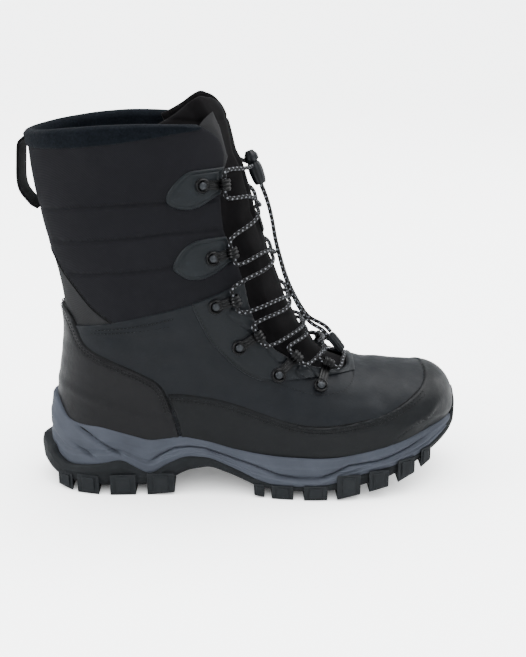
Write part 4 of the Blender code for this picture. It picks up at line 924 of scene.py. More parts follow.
class Nodes:
    """Short calls to build a material's node tree."""

    def __init__(self, name):
        self.finish = bpy.data.materials.new(name)
        self.finish.use_nodes = True
        self.tree = self.finish.node_tree
        self.shader = self.tree.nodes["Principled BSDF"]
        self.bump = None
        self.object = self.node("ShaderNodeTexCoord").outputs["Object"]

    def node(self, kind, **values):
        made = self.tree.nodes.new(kind)
        for key, value in values.items():
            setattr(made, key, value)
        return made

    def link(self, source, target):
        self.tree.links.new(source, target)

    def noise(self, scale, detail=3.0, rough=0.5, at=None, stretch=None):
        made = self.node("ShaderNodeTexNoise")
        made.inputs["Scale"].default_value = scale
        made.inputs["Detail"].default_value = detail
        made.inputs["Roughness"].default_value = rough
        self.link(self.stretched(at or self.object, stretch), made.inputs["Vector"])
        return made.outputs["Fac"]

    def stretched(self, at, stretch):
        if stretch is None:
            return at
        made = self.node("ShaderNodeMapping")
        made.inputs["Scale"].default_value = stretch
        self.link(at, made.inputs["Vector"])
        return made.outputs["Vector"]

    def cells(self, scale, at=None, feature="DISTANCE_TO_EDGE", stretch=None):
        made = self.node("ShaderNodeTexVoronoi", feature=feature)
        made.inputs["Scale"].default_value = scale
        self.link(self.stretched(at or self.object, stretch), made.inputs["Vector"])
        return made.outputs["Distance"]

    def math(self, operation, first, second=0.0):
        made = self.node("ShaderNodeMath", operation=operation)
        for socket, value in zip(made.inputs, (first, second)):
            if isinstance(value, (int, float)):
                socket.default_value = value
            else:
                self.link(value, socket)
        return made.outputs[0]

    def ranged(self, value, low, high, to_low=0.0, to_high=1.0):
        made = self.node("ShaderNodeMapRange")
        made.inputs["From Min"].default_value = low
        made.inputs["From Max"].default_value = high
        made.inputs["To Min"].default_value = to_low
        made.inputs["To Max"].default_value = to_high
        self.link(value, made.inputs["Value"])
        return made.outputs["Result"]

    def blend(self, share, first, second):
        made = self.node("ShaderNodeMix", data_type="RGBA")
        if isinstance(share, float):
            made.inputs[0].default_value = share
        else:
            self.link(share, made.inputs[0])
        for socket, value in ((made.inputs[6], first), (made.inputs[7], second)):
            if isinstance(value, (tuple, list)):
                socket.default_value = (*value[:3], 1.0)
            else:
                self.link(value, socket)
        return made.outputs[2]

    def toned(self, value, low, high, colour, dark, light):
        """A colour that goes from a darker to a lighter shade as the value goes from low to high."""
        return self.blend(self.ranged(value, low, high), lighter(colour, dark), lighter(colour, light))

    def edge_wear_and_highlight(self, low, high, share, under, edge_colour):
        """A colour that takes another one on the edges that stand out: partly wear, partly a painted highlight.
        """
        edge = self.node("ShaderNodeNewGeometry").outputs["Pointiness"]
        return self.blend(self.ranged(edge, low, high, 0.0, share), under, edge_colour)

    def along_and_across(self):
        """The two values of the UV map."""
        split = self.node("ShaderNodeSeparateXYZ")
        self.link(self.node("ShaderNodeTexCoord").outputs["UV"], split.inputs[0])
        return split.outputs[0], split.outputs[1]

    def raise_by(self, height, distance, strength):
        made = self.node("ShaderNodeBump")
        made.inputs["Distance"].default_value = distance
        made.inputs["Strength"].default_value = strength
        self.link(height, made.inputs["Height"])
        if self.bump is not None:
            self.link(self.bump, made.inputs["Normal"])
        self.bump = made.outputs["Normal"]

    def done(self, colour, roughness, metallic=0.0, sheen=0.0, specular=0.5):
        shader = self.shader
        for name, value in (("Base Color", colour), ("Roughness", roughness)):
            if isinstance(value, (tuple, list)):
                shader.inputs[name].default_value = (*value[:3], 1.0)
            elif isinstance(value, float):
                shader.inputs[name].default_value = value
            else:
                self.link(value, shader.inputs[name])
        shader.inputs["Metallic"].default_value = metallic
        shader.inputs["Sheen Weight"].default_value = sheen
        shader.inputs["Specular IOR Level"].default_value = specular
        if self.bump is not None:
            self.link(self.bump, shader.inputs["Normal"])
        return self.finish


def linear_value(c):
    return c / 255 / 12.92 if c <= 10 else ((c / 255 + 0.055) / 1.055) ** 2.4


def linear(colour):
    """Linear values of a colour given as it looks on a screen, 0 to 255."""
    return tuple(linear_value(c) for c in colour)


def lighter(colour, by):
    return tuple(min(1.0, c * by) for c in colour)


@functools.cache
def leather_finish(name, colour, rough, grain):
    """Coated leather: fine pebbled grain, soft mottling and small rubbed places."""
    n = Nodes(name)
    mottled = n.toned(n.noise(60, 4), 0.35, 0.68, colour, 0.82, 1.16)
    large = n.toned(n.noise(14, 2), 0.3, 0.7, colour, 0.92, 1.06)
    rubbed = n.math("MULTIPLY", n.ranged(n.noise(220, 2), 0.62, 0.8), 0.28)
    painted = n.blend(rubbed, n.blend(0.5, mottled, large), lighter(colour, 1.9))
    n.raise_by(n.cells(grain), 0.00022, 0.55)
    n.raise_by(n.noise(grain * 0.35, 3), 0.0003, 0.35)
    n.raise_by(n.noise(90, 3), 0.0012, 0.3)
    shine = n.ranged(n.noise(120, 3), 0.3, 0.7, rough - 0.07, rough + 0.07)
    return n.done(painted, shine, specular=0.2)


@functools.cache
def cloth_finish(name, colour, weave, sheen):
    """Soft-shell cloth: a very fine twill, a little fuzz and faint large folds."""
    n = Nodes(name)
    twill = n.node("ShaderNodeTexWave", wave_type="BANDS", bands_direction="DIAGONAL")
    twill.inputs["Scale"].default_value = weave
    twill.inputs["Distortion"].default_value = 1.2
    twill.inputs["Detail"].default_value = 1.0
    n.link(n.object, twill.inputs["Vector"])
    fuzz = n.math("MULTIPLY", n.noise(900, 2), 0.4)
    thread = n.math("ADD", n.math("MULTIPLY", twill.outputs["Fac"], 0.6), fuzz)
    tone = n.toned(thread, 0.3, 0.75, colour, 0.78, 1.2)
    patchy = n.toned(n.noise(22, 3), 0.35, 0.7, colour, 0.9, 1.12)
    mixed = n.blend(0.45, tone, patchy)
    n.raise_by(thread, 0.00015, 0.4)
    n.raise_by(n.noise(70, 3), 0.0018, 0.32)
    return n.done(mixed, 0.85, sheen=sheen, specular=0.05)


@functools.cache
def fleece_finish(name, colour):
    """Short fleece: a soft matted nap."""
    n = Nodes(name)
    nap = n.noise(650, 5, 0.7)
    clumps = n.noise(170, 3)
    tone = n.toned(nap, 0.3, 0.72, colour, 0.6, 1.5)
    clumped = n.blend(n.ranged(clumps, 0.35, 0.7, 0.0, 0.5), tone, lighter(colour, 0.8))
    n.raise_by(nap, 0.0006, 0.7)
    n.raise_by(clumps, 0.0009, 0.5)
    return n.done(clumped, 0.95, sheen=0.04, specular=0.04)


@functools.cache
def foam_finish(name, colour):
    """Moulded foam: matt skin with fine pores, lighter on its standing edges, partly rubbed, partly a painted
    highlight.
    """
    n = Nodes(name)
    tone = n.toned(n.noise(45, 4), 0.35, 0.68, colour, 0.9, 1.1)
    pores = n.cells(1300, feature="F1")
    dotted = n.blend(n.ranged(pores, 0.0, 0.35, 0.35, 0.0), tone, lighter(colour, 0.75))
    edge_wear_and_highlight = n.edge_wear_and_highlight(0.505, 0.56, 0.4, dotted, lighter(colour, 1.5))
    n.raise_by(pores, 0.0001, 0.4)
    n.raise_by(n.noise(500, 3), 0.00015, 0.45)
    return n.done(edge_wear_and_highlight, 0.62, specular=0.15)


@functools.cache
def rubber_finish(name, colour):
    """Matt rubber with a spark-eroded grain, and lighter edges, partly scuffed, partly a painted highlight."""
    n = Nodes(name)
    tone = n.toned(n.noise(55, 4), 0.35, 0.68, colour, 0.84, 1.14)
    edge_wear_and_highlight = n.edge_wear_and_highlight(0.505, 0.57, 0.5, tone, lighter(colour, 1.8))
    n.raise_by(n.noise(1100, 3, 0.6), 0.00016, 0.6)
    n.raise_by(n.noise(140, 3), 0.0004, 0.25)
    shine = n.ranged(n.noise(200, 3), 0.3, 0.7, 0.55, 0.72)
    return n.done(edge_wear_and_highlight, shine, specular=0.14)


@functools.cache
def metal_finish(name, colour, rough, metallic):
    """Coated metal with fine scratches and brighter edges, partly wear, partly a painted highlight."""
    n = Nodes(name)
    scratches = n.noise(900, 2, 0.5, stretch=(1.0, 0.1, 0.4))
    tone = n.toned(scratches, 0.4, 0.7, colour, 0.92, 1.1)
    edge_wear_and_highlight = n.edge_wear_and_highlight(0.55, 0.66, 0.25, tone, lighter(colour, 1.8))
    n.raise_by(scratches, 0.00003, 0.3)
    shine = n.ranged(n.noise(400, 2), 0.3, 0.7, rough - 0.08, rough + 0.1)
    return n.done(edge_wear_and_highlight, shine, metallic=metallic, specular=0.3)


@functools.cache
def plastic_finish(name, colour):
    n = Nodes(name)
    tone = n.toned(n.noise(300, 3), 0.35, 0.68, colour, 0.85, 1.2)
    # Lighter on the edges that stand out, partly wear, partly a painted highlight.
    edge_wear_and_highlight = n.edge_wear_and_highlight(0.51, 0.6, 0.5, tone, lighter(colour, 2.2))
    n.raise_by(n.noise(1000, 2), 0.00006, 0.4)
    return n.done(edge_wear_and_highlight, 0.42, specular=0.25)


@functools.cache
def lace_finish(name, colour, fleck):
    """Braided round lace with light flecks in two rows that wind round it."""
    n = Nodes(name)
    along, turn = n.along_and_across()
    repeats, winds = n.math("DIVIDE", along, 0.0042), n.math("MULTIPLY", turn, 2.0)
    rows = []
    for way in ("ADD", "SUBTRACT"):
        row = n.math("SUBTRACT", n.math("FRACT", n.math(way, repeats, winds)), 0.5)
        rows.append(n.math("LESS_THAN", n.math("ABSOLUTE", row), 0.2))
    flecked = n.math("MULTIPLY", *rows)
    strand, wind = n.math("MULTIPLY", along, 5460.0), n.math("MULTIPLY", turn, 50.26)
    braid = n.math("MAXIMUM", *[n.math("SINE", n.math(way, strand, wind)) for way in ("ADD", "SUBTRACT")])
    tone = n.toned(braid, -0.6, 1.0, colour, 0.6, 1.5)
    painted = n.blend(flecked, tone, fleck)
    n.raise_by(braid, 0.0002, 0.6)
    return n.done(painted, 0.62, sheen=0.05, specular=0.15)


@functools.cache
def tape_finish(name, colour):
    """Woven tape: ribs along it, crossed by fine picks."""
    n = Nodes(name)
    along, across = n.along_and_across()
    ribs = n.math("SINE", n.math("MULTIPLY", across, 5200.0))
    picks = n.math("SINE", n.math("MULTIPLY", along, 7000.0))
    crossed = n.math("MULTIPLY", n.math("MULTIPLY", ribs, picks), 0.4)
    woven = n.math("ADD", n.math("MULTIPLY", ribs, 0.6), crossed)
    tone = n.toned(woven, -0.8, 0.9, colour, 0.6, 1.4)
    fuzz = n.blend(n.ranged(n.noise(500, 3), 0.4, 0.7, 0.0, 0.4), tone, lighter(colour, 1.2))
    n.raise_by(woven, 0.0003, 0.6)
    return n.done(fuzz, 0.7, sheen=0.05, specular=0.12)


@functools.cache
def thread_finish(name, colour):
    n = Nodes(name)
    twist = n.noise(2500, 2)
    tone = n.toned(twist, 0.3, 0.7, colour, 0.7, 1.4)
    n.raise_by(twist, 0.0001, 0.5)
    return n.done(tone, 0.6, sheen=0.05, specular=0.15)


@functools.cache
def floor_finish(colour):
    n = Nodes("pale_floor")
    tone = n.blend(n.ranged(n.noise(3, 3), 0.3, 0.7), lighter(colour, 0.99), colour)
    n.shader.inputs["Emission Color"].default_value = (*colour, 1.0)
    # The floor glows for camera rays only, which keeps it evenly bright; the ambient occlusion dims that glow
    # near the boot, a painted contact shadow.
    seen = n.node("ShaderNodeLightPath").outputs["Is Camera Ray"]
    shade = n.node("ShaderNodeAmbientOcclusion", samples=16)
    shade.inputs["Distance"].default_value = 0.16
    glow_with_painted_shadow = n.math("MULTIPLY", shade.outputs["AO"], 4.4)
    n.link(n.math("MULTIPLY", seen, glow_with_painted_shadow), n.shader.inputs["Emission Strength"])
    return n.done(tone, 0.75, specular=0.15)


def looks():
    return bpy.context.scene.boot_looks


def colour(name):
    return tuple(getattr(looks(), name))


# Pieces of the upper

LOWER_NUMBERS = section_numbers((0, 11.5, 150), (11.55, 12, 12))
COUNTER_NUMBERS = LOWER_NUMBERS + section_numbers((12.03, 13.5, 40))
SHAFT_NUMBERS = section_numbers((11.7, 17.6, 130), (17.63, 18, 12))
PATCH_NUMBERS = section_numbers((12.4, 17.2, 190))
EYESTAY_NUMBERS = section_numbers((6.6, 11.6, 130), (11.63, 12, 12))
LINING_NUMBERS = section_numbers((0.4, 17.5, 120))
GUSSET_NUMBERS = section_numbers((15.5, 19.2, 110))


def from_top(rows):
    """How far each point lies below the top row, along its column."""
    step = np.linalg.norm(np.diff(rows, axis=0), axis=2)
    return np.concatenate([np.cumsum(step[::-1], axis=0)[::-1], np.zeros((1, rows.shape[1]))])


def behind_throat(rows):
    return -signed_line(rows[..., 0], rows[..., 2], THROAT_EDGE)


# Reach of a quilting seam and of the padding's dip beside it, and the cut edges' sink.
QUILT_SEAM = 0.0013
QUILT_PUFF = 0.007
SHAFT_SINK = 0.0010
INSERT_SINK = 0.0006
VAMP_SINK = 0.0006
OVERLAY_ROUND = 0.0013


def creased(x, z, side):
    """Soft creases: each a trough with a low swell beside it."""
    lift = np.zeros(x.shape)
    for crease in CREASES:
        away = line_away(x, z, crease.line)
        shape = -crease.depth * np.exp(-((away / crease.reach) ** 2) * 3)
        beside = away - crease.reach * 1.3
        shape = shape + 0.45 * crease.depth * np.exp(-((beside / crease.reach) ** 2) * 3)
        if crease.side:
            shape = np.where(side == crease.side, shape, 0)
        lift += shape
    return lift


def quilted(x, z):
    lift = np.zeros(x.shape)
    for line in QUILTS:
        away = line_away(x, z, line)
        lift -= looks().quilt_depth * bell(away, QUILT_SEAM)
        lift -= 0.5 * looks().quilt_depth * bell(away, QUILT_PUFF)
    behind = x - np.interp(z, BACK_Z, BACK_X)
    return lift * (0.25 + 0.75 * smooth((behind - 0.002) / 0.010))


def surface_piece(name, points, faces, finish, *replaced, slot=None, inward=False):
    mesh = mesh_of(name, points, faces)
    centre = Vector(np.mean([v.co[:] for v in mesh.vertices], axis=0))
    facing(mesh, centre)
    if inward:
        mesh.flip_normals()
    return place_piece(name, mesh, finish, *replaced, slot=slot)


def make_shaft():
    sheet = surface_sheet(SHAFT_NUMBERS, 130)
    x, z = sheet.x, sheet.z
    open_edge = behind_throat(sheet.rows)
    insert = signed_line(x, z, INSERT)
    dist = np.minimum(open_edge, insert)
    quilting = quilted(x, z)
    lift = quilting + creased(x, z, sheet.side)
    lift = lift * smooth(dist / 0.006) + rounded_edge(dist, 0.0, 0.0022, SHAFT_SINK)
    points, faces = cut_grid(sheet.rows, sheet.out, dist, lift, -SHAFT_SINK)
    finish = cloth_finish("softshell_cloth", colour("shaft"), 420.0, 0.02)
    surface_piece("shaft_shell", points, faces, finish, "upper", slot="softshell")
    low = 0.002 - insert
    points, faces = cut_grid(sheet.rows, sheet.out, low, 0.3 * quilting - INSERT_SINK, -INSERT_SINK)
    finish = cloth_finish("stretch_insert_cloth", colour("insert"), 520.0, 0.05)
    surface_piece("back_insert", points, faces, finish, slot="softshell")


def make_vamp():
    sheet = surface_sheet(LOWER_NUMBERS, 220)
    x, z = sheet.x, sheet.z
    top = from_top(sheet.rows)
    open_edge = behind_throat(sheet.rows)
    height = QUARTER_STEP + creased(x, z, sheet.side)
    lift = rounded_edge(top, height, 0.0011, 0.0003)
    at_throat = np.minimum(lift, rounded_edge(open_edge, height, 0.0022, VAMP_SINK))
    lift = np.where(open_edge < 0.002, at_throat, lift)
    points, faces = cut_grid(sheet.rows, sheet.out, open_edge, lift, -VAMP_SINK)
    finish = leather_finish("coated_leather", colour("leather"), 0.5, 620.0)
    surface_piece("vamp_and_quarter", points, faces, finish, slot="leather")


# The footbed's rows from its edge inward: share of its width and rise.
FOOTBED = [
    (0.93, 0.0), (0.93, 0.0036), (0.90, 0.0042), (0.75, 0.0040), (0.5, 0.0042), (0.2, 0.0044),
    (0.0, 0.0044),
]


def make_lining():
    sheet = surface_sheet(LINING_NUMBERS, 70)
    open_edge = behind_throat(sheet.rows)
    deep = -(WALL + 0.0003)
    lift = -SHAFT_SINK + (deep + SHAFT_SINK) * quarter_circle(open_edge, 0.002)
    points, faces = cut_grid(sheet.rows, sheet.out, open_edge, lift, -SHAFT_SINK)
    finish = fleece_finish("fleece_lining", colour("lining"))
    surface_piece("inner_lining", points, faces, finish, slot="lining", inward=True)
    low = ring(0.5, 60)
    middle = np.stack([low[:, 0], foot(low[:, 0], "centre"), low[:, 2]], 1)
    rows = np.array([middle + (low - middle) * (share, share, 1.0) + (0, 0, rise) for share, rise in FOOTBED])
    index = np.arange(rows.shape[0] * rows.shape[1]).reshape(rows.shape[:2])
    faces = []
    for j in range(rows.shape[0] - 1):
        for i in range(rows.shape[1] - 1):
            faces.append((index[j, i], index[j, i + 1], index[j + 1, i + 1], index[j + 1, i]))
    mesh = mesh_of("footbed", rows.reshape(-1, 3), faces)
    if sum(p.normal.z * p.area for p in mesh.polygons) < 0:
        mesh.flip_normals()
    place_piece("footbed", mesh, finish, "insole", slot="lining")


# The collar's rows over the rim, by section number and how far they stand off.
COLLAR_OVER = [
    (17.97, 0.0006), (18.03, 0.0000), (18.09, -0.0012), (18.12, -0.0028), (18.10, -0.0044),
    (18.03, -0.0058),
]
COLLAR_MIDDLE = -0.0026


def make_collar():
    """The padded band: up the outside, over the rim and down the inside."""
    outer_numbers = np.linspace(15.7, 17.9, 66)
    inner_numbers = np.linspace(17.9, 15.2, 60)
    numbers = np.concatenate([outer_numbers, [v for v, _ in COLLAR_OVER], inner_numbers])
    rows = np.array([ring(float(v), 120) for v in numbers])
    outside = normals(rows[: len(outer_numbers)])
    rim = np.repeat(outside[-1:], len(COLLAR_OVER), 0)
    inside = normals(rows[-len(inner_numbers) :][::-1])[::-1]
    out = np.concatenate([outside, rim, inside])
    x, z = rows[..., 0], rows[..., 2]
    seam = signed_line(x, z, BAND_SEAM)
    throat = behind_throat(rows)
    lift = np.zeros(x.shape)
    puff = looks().collar_puff
    first, second = len(outer_numbers), len(outer_numbers) + len(COLLAR_OVER)
    lift[:first] = rounded_edge(seam[:first], puff, 0.004, 0.0005)
    for k, (_, depth) in enumerate(COLLAR_OVER):
        lift[first + k] = depth + puff * (1 - k / len(COLLAR_OVER))
    down = np.clip((numbers[second:] - 15.2) / 1.2, 0, 1)
    lift[second:] = (-(WALL + 0.0002) - (0.0050 * smooth(down)))[:, None]
    lift += 0.0004 * np.sin(x * 260 + 1.0) * np.sin(z * 190 + 0.5)
    lift = COLLAR_MIDDLE + (lift - COLLAR_MIDDLE) * quarter_circle(throat, 0.005)
    dist = throat.copy()
    dist[:first] = np.minimum(throat[:first], seam[:first])
    points, faces = cut_grid(rows, out, dist, lift, COLLAR_MIDDLE)
    mesh = mesh_of("collar_band", points, faces, 80)
    turn_outward(mesh)
    top = max(mesh.polygons, key=lambda p: p.center.z)
    if top.normal.z < 0:
        mesh.flip_normals()
    finish = fleece_finish("collar_fleece", colour("collar"))
    made = place_piece("collar_band", mesh, finish, "collar", slot="lining")


def tongue_half(v):
    return float(np.interp(v, [row[0] for row in TONGUE], [row[1] for row in TONGUE])) * SHAFT_WIDTH


# The tongue's long folds: place across it at section 14, its drift by section, reach and depth.
TongueFold = namedtuple("TongueFold", "across drift reach depth")
TONGUE_FOLDS = [TongueFold(-0.012, 0.0016, 0.0026, 0.0014), TongueFold(0.013, -0.0020, 0.0028, 0.0013)]


def tongue_surface(numbers, columns):
    """The tongue's outer face, fine, with its folds, and each point's distance to its side edges."""
    rows = []
    for v in numbers:
        sides = []
        for side in (-1, 1):
            line = half_ring(float(v), side)[::-1]
            along = np.concatenate([[0], np.cumsum(np.linalg.norm(np.diff(line, axis=0), axis=1))])
            at = np.linspace(0, tongue_half(v), columns + 1)
            sides.append(np.stack([np.interp(at, along, line[:, k]) for k in range(3)], 1))
        rows.append(np.concatenate([sides[0][::-1], sides[1][1:]]))
    rows = np.array(rows)
    out = normals(rows)
    lifts = np.zeros(rows.shape[:2])
    share = np.abs(np.linspace(-1, 1, rows.shape[1]))
    to_side = np.array([(1 - share) * tongue_half(v) for v in numbers])
    across = np.array([np.linspace(-1, 1, rows.shape[1]) * tongue_half(v) for v in numbers])
    last = None
    for j, v in enumerate(numbers):
        inside = signed_line(rows[j, :, 0], rows[j, :, 2], THROAT_EDGE)
        in_collar = smooth((v - COLLAR_FROM + PAD_BELOW) / PAD_OVER)
        in_collar = in_collar * smooth(PAD_RAMP * inside / COLLAR_BACK)
        deep = -(WALL + TONGUE_CLEAR + (COLLAR_PAD + GAP) * in_collar)
        shown = smooth((inside - TONGUE_EDGE) / TONGUE_RISE)
        level = deep + (TONGUE_BULGE - deep) * shown
        if v > TONGUE_SAME and last is not None:
            level = last
        last = level
        pressed = sum(math.exp(-(((v - c.section) / 0.22) ** 2)) for c in CROSSINGS)
        fold = -0.0010 * pressed * shown
        for long in TONGUE_FOLDS:
            away = across[j] - long.across - long.drift * (v - 14)
            fold = fold - long.depth * bell(away, long.reach) * smooth((v - 12.6) / 1.2)
        fold = fold - 0.0008 * math.exp(-(((v - 18.35) / 0.10) ** 2))
        lifts[j] = level + fold
    return rows, out, lifts, to_side


def make_tongue():
    numbers = np.linspace(7.3, 20.0, 190)
    rows, out, lifts, to_side = tongue_surface(numbers, 44)
    x, z = rows[..., 0], rows[..., 2]
    outline = inside_outline(x, z, rounded(TONGUE_OUTLINE))
    dist = np.minimum(outline, to_side)
    dist[0] = 0.0
    half = TONGUE_PAD / 2
    edge = quarter_circle(dist, 0.003)
    base = rows + out * (lifts - half)[..., None]
    meshes = []
    for way in (1, -1):
        points, faces = cut_grid(base, out, dist, way * half * edge, 0.0)
        if way < 0:
            faces = [face[::-1] for face in faces]
        meshes.append(mesh_of("tongue_face", points, faces, 80))
    mesh = joined("padded_tongue", meshes)
    turn_outward(mesh, weld=3e-5)
    mesh.shade_smooth()
    finish = cloth_finish("tongue_cloth", colour("tongue"), 420.0, 0.02)
    made = place_piece("padded_tongue", mesh, finish, "tongue", slot="softshell")


GUSSET_OUTLINE = [
    (-0.112, 0.990), (-0.094, 1.016), (-0.074, 1.034), (-0.058, 0.990), (-0.042, 0.915),
    (-0.052, 0.880),
]


def make_gusset():
    """Light cloth folded between the shaft's edge and the tongue, at the top of the throat."""
    sheet = surface_sheet(GUSSET_NUMBERS, 110)
    x, z = sheet.x, sheet.z
    dist = np.minimum(inside_outline(x, z, GUSSET_OUTLINE), 0.0012 - behind_throat(sheet.rows))
    lift = 0.0012 * smooth(dist / 0.005) - 0.0011
    points, faces = cut_grid(sheet.rows, sheet.out, dist, lift, -0.0014)
    finish = cloth_finish("gusset_cloth", colour("insert"), 520.0, 0.05)
    surface_piece("throat_gusset", points, faces, finish, slot="softshell")


def overlay_piece(name, sheet, dist, base, height, finish, replaced, slot, relief, sink=0.0004):
    """A panel laid on the upper where dist is above 0, with a rounded edge."""
    top = base + height + relief
    low = base - sink
    lift = low + (top - low) * quarter_circle(dist, OVERLAY_ROUND)
    points, faces = cut_grid(sheet.rows, sheet.out, dist, lift, low)
    surface_piece(name, points, faces, finish, replaced, slot=slot)


COUNTER_RIDGE = [(-0.46, 0.30), (-0.36, 0.27), (-0.25, 0.22), (-0.16, 0.19)]


def make_counter_and_rand():
    sheet = surface_sheet(COUNTER_NUMBERS, 260)
    x, z = sheet.x, sheet.z
    smooth_leather = leather_finish("smooth_leather", colour("counter"), 0.38, 900.0)
    counter = inside_outline(x, z, rounded(COUNTER_OUTLINE))
    seam = -0.0004 * bell(counter - 0.0042, 0.0016)
    ridge = 0.0007 * bell(signed_line(x, z, COUNTER_RIDGE), 0.004)
    overlay_piece(
        "back_counter", sheet, counter, QUARTER_STEP, OVERLAY, smooth_leather, "heel_counter",
        slot="smooth", relief=seam + ridge, sink=0.0012,
    )
    rand_leather = leather_finish("rand_leather", colour("rand"), 0.42, 760.0)
    rand = np.where(sheet.v > 12, -1.0, inside_outline(x, z, rounded(RAND_OUTLINE)))
    seam = -0.0002 * bell(rand - 0.0036, 0.0018)
    overlay_piece(
        "front_rand", sheet, rand, QUARTER_STEP, OVERLAY, rand_leather, "toe_rand",
        slot="smooth", relief=seam + 0.6 * creased(x, z, sheet.side),
    )


# Embossed tabs of the eyestay, each between the two ends of its middle line.
TABS = [
    ((-0.037, 0.518), (0.005, 0.478)),
    ((0.046, 0.420), (0.069, 0.383)),
    ((0.115, 0.347), (0.137, 0.325)),
]


def make_eyestay():
    sheet = surface_sheet(EYESTAY_NUMBERS, 240)
    x, z = sheet.x, sheet.z
    dist = inside_outline(x, z, rounded(EYESTAY_OUTLINE))
    dist = np.minimum(dist, np.minimum(behind_throat(sheet.rows), from_top(sheet.rows)))
    relief = -0.0003 * bell(dist - 0.0030, 0.0006)
    for tab in TABS:
        away = line_away(x, z, tab)
        relief += 0.0010 * smooth((0.0032 - away) / 0.0008) - 0.0005 * bell(away - 0.0038, 0.0006)
    finish = leather_finish("eyestay_leather", colour("eyestay"), 0.45, 800.0)
    overlay_piece("lace_eyestay", sheet, dist, QUARTER_STEP, OVERLAY, finish, "eyestay", "leather", relief)


def make_patches():
    sheet = surface_sheet(PATCH_NUMBERS, 190)
    x, z = sheet.x, sheet.z
    finish = leather_finish("patch_leather", colour("patch"), 0.42, 900.0)
    open_edge = behind_throat(sheet.rows)
    for name, outline in PATCHES.items():
        whole = np.minimum(inside_outline(x, z, rounded(outline)), open_edge)
        for side_name, side in (("outer", -1), ("inner", 1)):
            dist = np.where(sheet.side == side, whole, -1.0)
            relief = 0.0003 * smooth((dist - 0.003) / 0.004) - 0.0007 * bell(dist - 0.0024, 0.0006)
            overlay_piece(
                f"leaf_patch_{name}_{side_name}", sheet, dist, GAP, PATCH, finish,
                f"hook_patch_{name}_{side_name}", slot="smooth", relief=relief,
            )


# Sole

# How far the sole's sides stand off their plan, by the share of their height from the bottom.
FOAM_SIDE = [
    (0.00, -0.0010), (0.14, 0.0004), (0.30, 0.0006), (0.34, -0.0004), (0.43, -0.0004),
    (0.47, 0.0004), (0.68, 0.0002), (0.76, -0.0008), (1.00, -0.0022),
]
RUBBER_SIDE = [(0.00, -0.0030), (0.25, -0.0008), (0.70, 0.0000), (1.00, -0.0012)]
# The midsole's grooves.
SWOOPS = [
    [(-0.417, 0.193), (-0.381, 0.172), (-0.346, 0.148), (-0.312, 0.123), (-0.289, 0.110)],
    [(-0.419, 0.142), (-0.383, 0.115), (-0.348, 0.097)],
    [
        (-0.241, 0.086), (-0.208, 0.113), (-0.173, 0.134), (-0.139, 0.138), (-0.104, 0.133),
        (-0.070, 0.120), (-0.024, 0.102), (0.022, 0.084), (0.067, 0.064), (0.113, 0.057),
        (0.159, 0.058), (0.193, 0.075), (0.227, 0.094), (0.297, 0.102), (0.370, 0.127),
        (0.436, 0.156),
    ],
]


SOLE_COLUMNS = 300


def closed_band(name, rings):
    """A closed surface through rings, the last one joined to the first."""
    rings = np.array(rings)
    count, across = rings.shape[:2]
    faces = []
    for j in range(count):
        k = (j + 1) % count
        for i in range(across):
            n = (i + 1) % across
            faces.append((j * across + i, j * across + n, k * across + n, k * across + i))
    mesh = mesh_of(name, rings.reshape(-1, 3), faces, 70)
    turn_outward(mesh)
    return mesh


def sole_rings(column, profile, low, high, relief, inward):
    """Rings of the sole's side from bottom to top, then inward and down inside."""
    way = np.linspace(0, 1, SOLE_COLUMNS + 1)
    plans = sole_plan(column, 0.0, SOLE_COLUMNS)

    def ring_at(share, proud, shape=True, height=0.0):
        both = []
        for plan, out in plans:
            x = plan[:, 0]
            bottom, top = low(x, way), high(x, way)
            z = bottom + (top - bottom) * share + height
            off = proud + (relief(x, z, top - z, z - bottom) if shape else 0)
            flat = plan + out * np.broadcast_to(off, len(x))[:, None]
            both.append(np.stack([flat[:, 0], flat[:, 1], z], 1))
        return np.concatenate([both[0], both[1][-2:0:-1]])

    shares = np.linspace(0, 1, 56)
    outs = np.interp(shares, [p[0] for p in profile], [p[1] for p in profile])
    rings = [ring_at(0.0, -inward, False), ring_at(0.0, outs[0] - 0.003, False)]
    rings += [ring_at(share, proud) for share, proud in zip(shares, outs)]
    rings.append(ring_at(1.0, outs[-1] - 0.0012, False, 0.0001))
    rings.append(ring_at(1.0, -inward, False, -0.0004))
    return rings


def foam_relief(x, z, from_top_edge, from_bottom):
    off = np.zeros(len(x))
    for line in SWOOPS:
        away, place, above = line_distance(x, z, metres(line))
        ends = smooth(place / 0.8) * smooth((len(line) - 1 - place) / 0.8)
        off -= looks().swoop_depth * bell(away, 0.0013) * (0.15 + 0.85 * ends)
        step = np.where(above, -1.0, 1.0) * bell(away, 0.006)
        off += 0.0008 * step * ends
    edge = np.minimum(from_top_edge, from_bottom)
    off -= 0.0010 * (1 - np.clip(edge / 0.0016, 0, 1)) ** 2
    return off


def rubber_relief(x, z, from_top_edge, from_bottom):
    edge = np.minimum(from_top_edge, from_bottom)
    return -0.0009 * (1 - np.clip(edge / 0.0014, 0, 1)) ** 2


def bumper_top(x, way):
    share = np.interp(way, [row[0] for row in BUMPERS], [row[1] for row in BUMPERS])
    return np.maximum(soft_height(x, "foam_bottom") + LUG_SINK, share * COLLAR_HEIGHT)


def level(column):
    return lambda x, way: soft_height(x, column)


def make_midsole():
    rings = sole_rings("foam", FOAM_SIDE, level("foam_bottom"), level("foam_top"), foam_relief, 0.010)
    finish = foam_finish("moulded_foam", colour("foam"))
    place_piece("foam_midsole", closed_band("foam_midsole", rings), finish, "midsole", slot="foam")


def rubber_edge(side):
    plan, _ = sole_plan("rubber", 0.0, 120)[0 if side < 0 else 1]
    return plan


def lug_block(corners, bevel):
    """A block from its eight corners, with rounded edges."""
    bm = bmesh.new()
    bmesh.ops.create_cube(bm, size=1)
    for vertex in bm.verts:
        vertex.co = corners[tuple(int(value > 0) for value in vertex.co)]
    bmesh.ops.recalc_face_normals(bm, faces=bm.faces)
    bmesh.ops.bevel(bm, geom=bm.edges[:], offset=bevel, segments=3, profile=0.6, affect="EDGES")
    return mesh_from(bm, "lug")


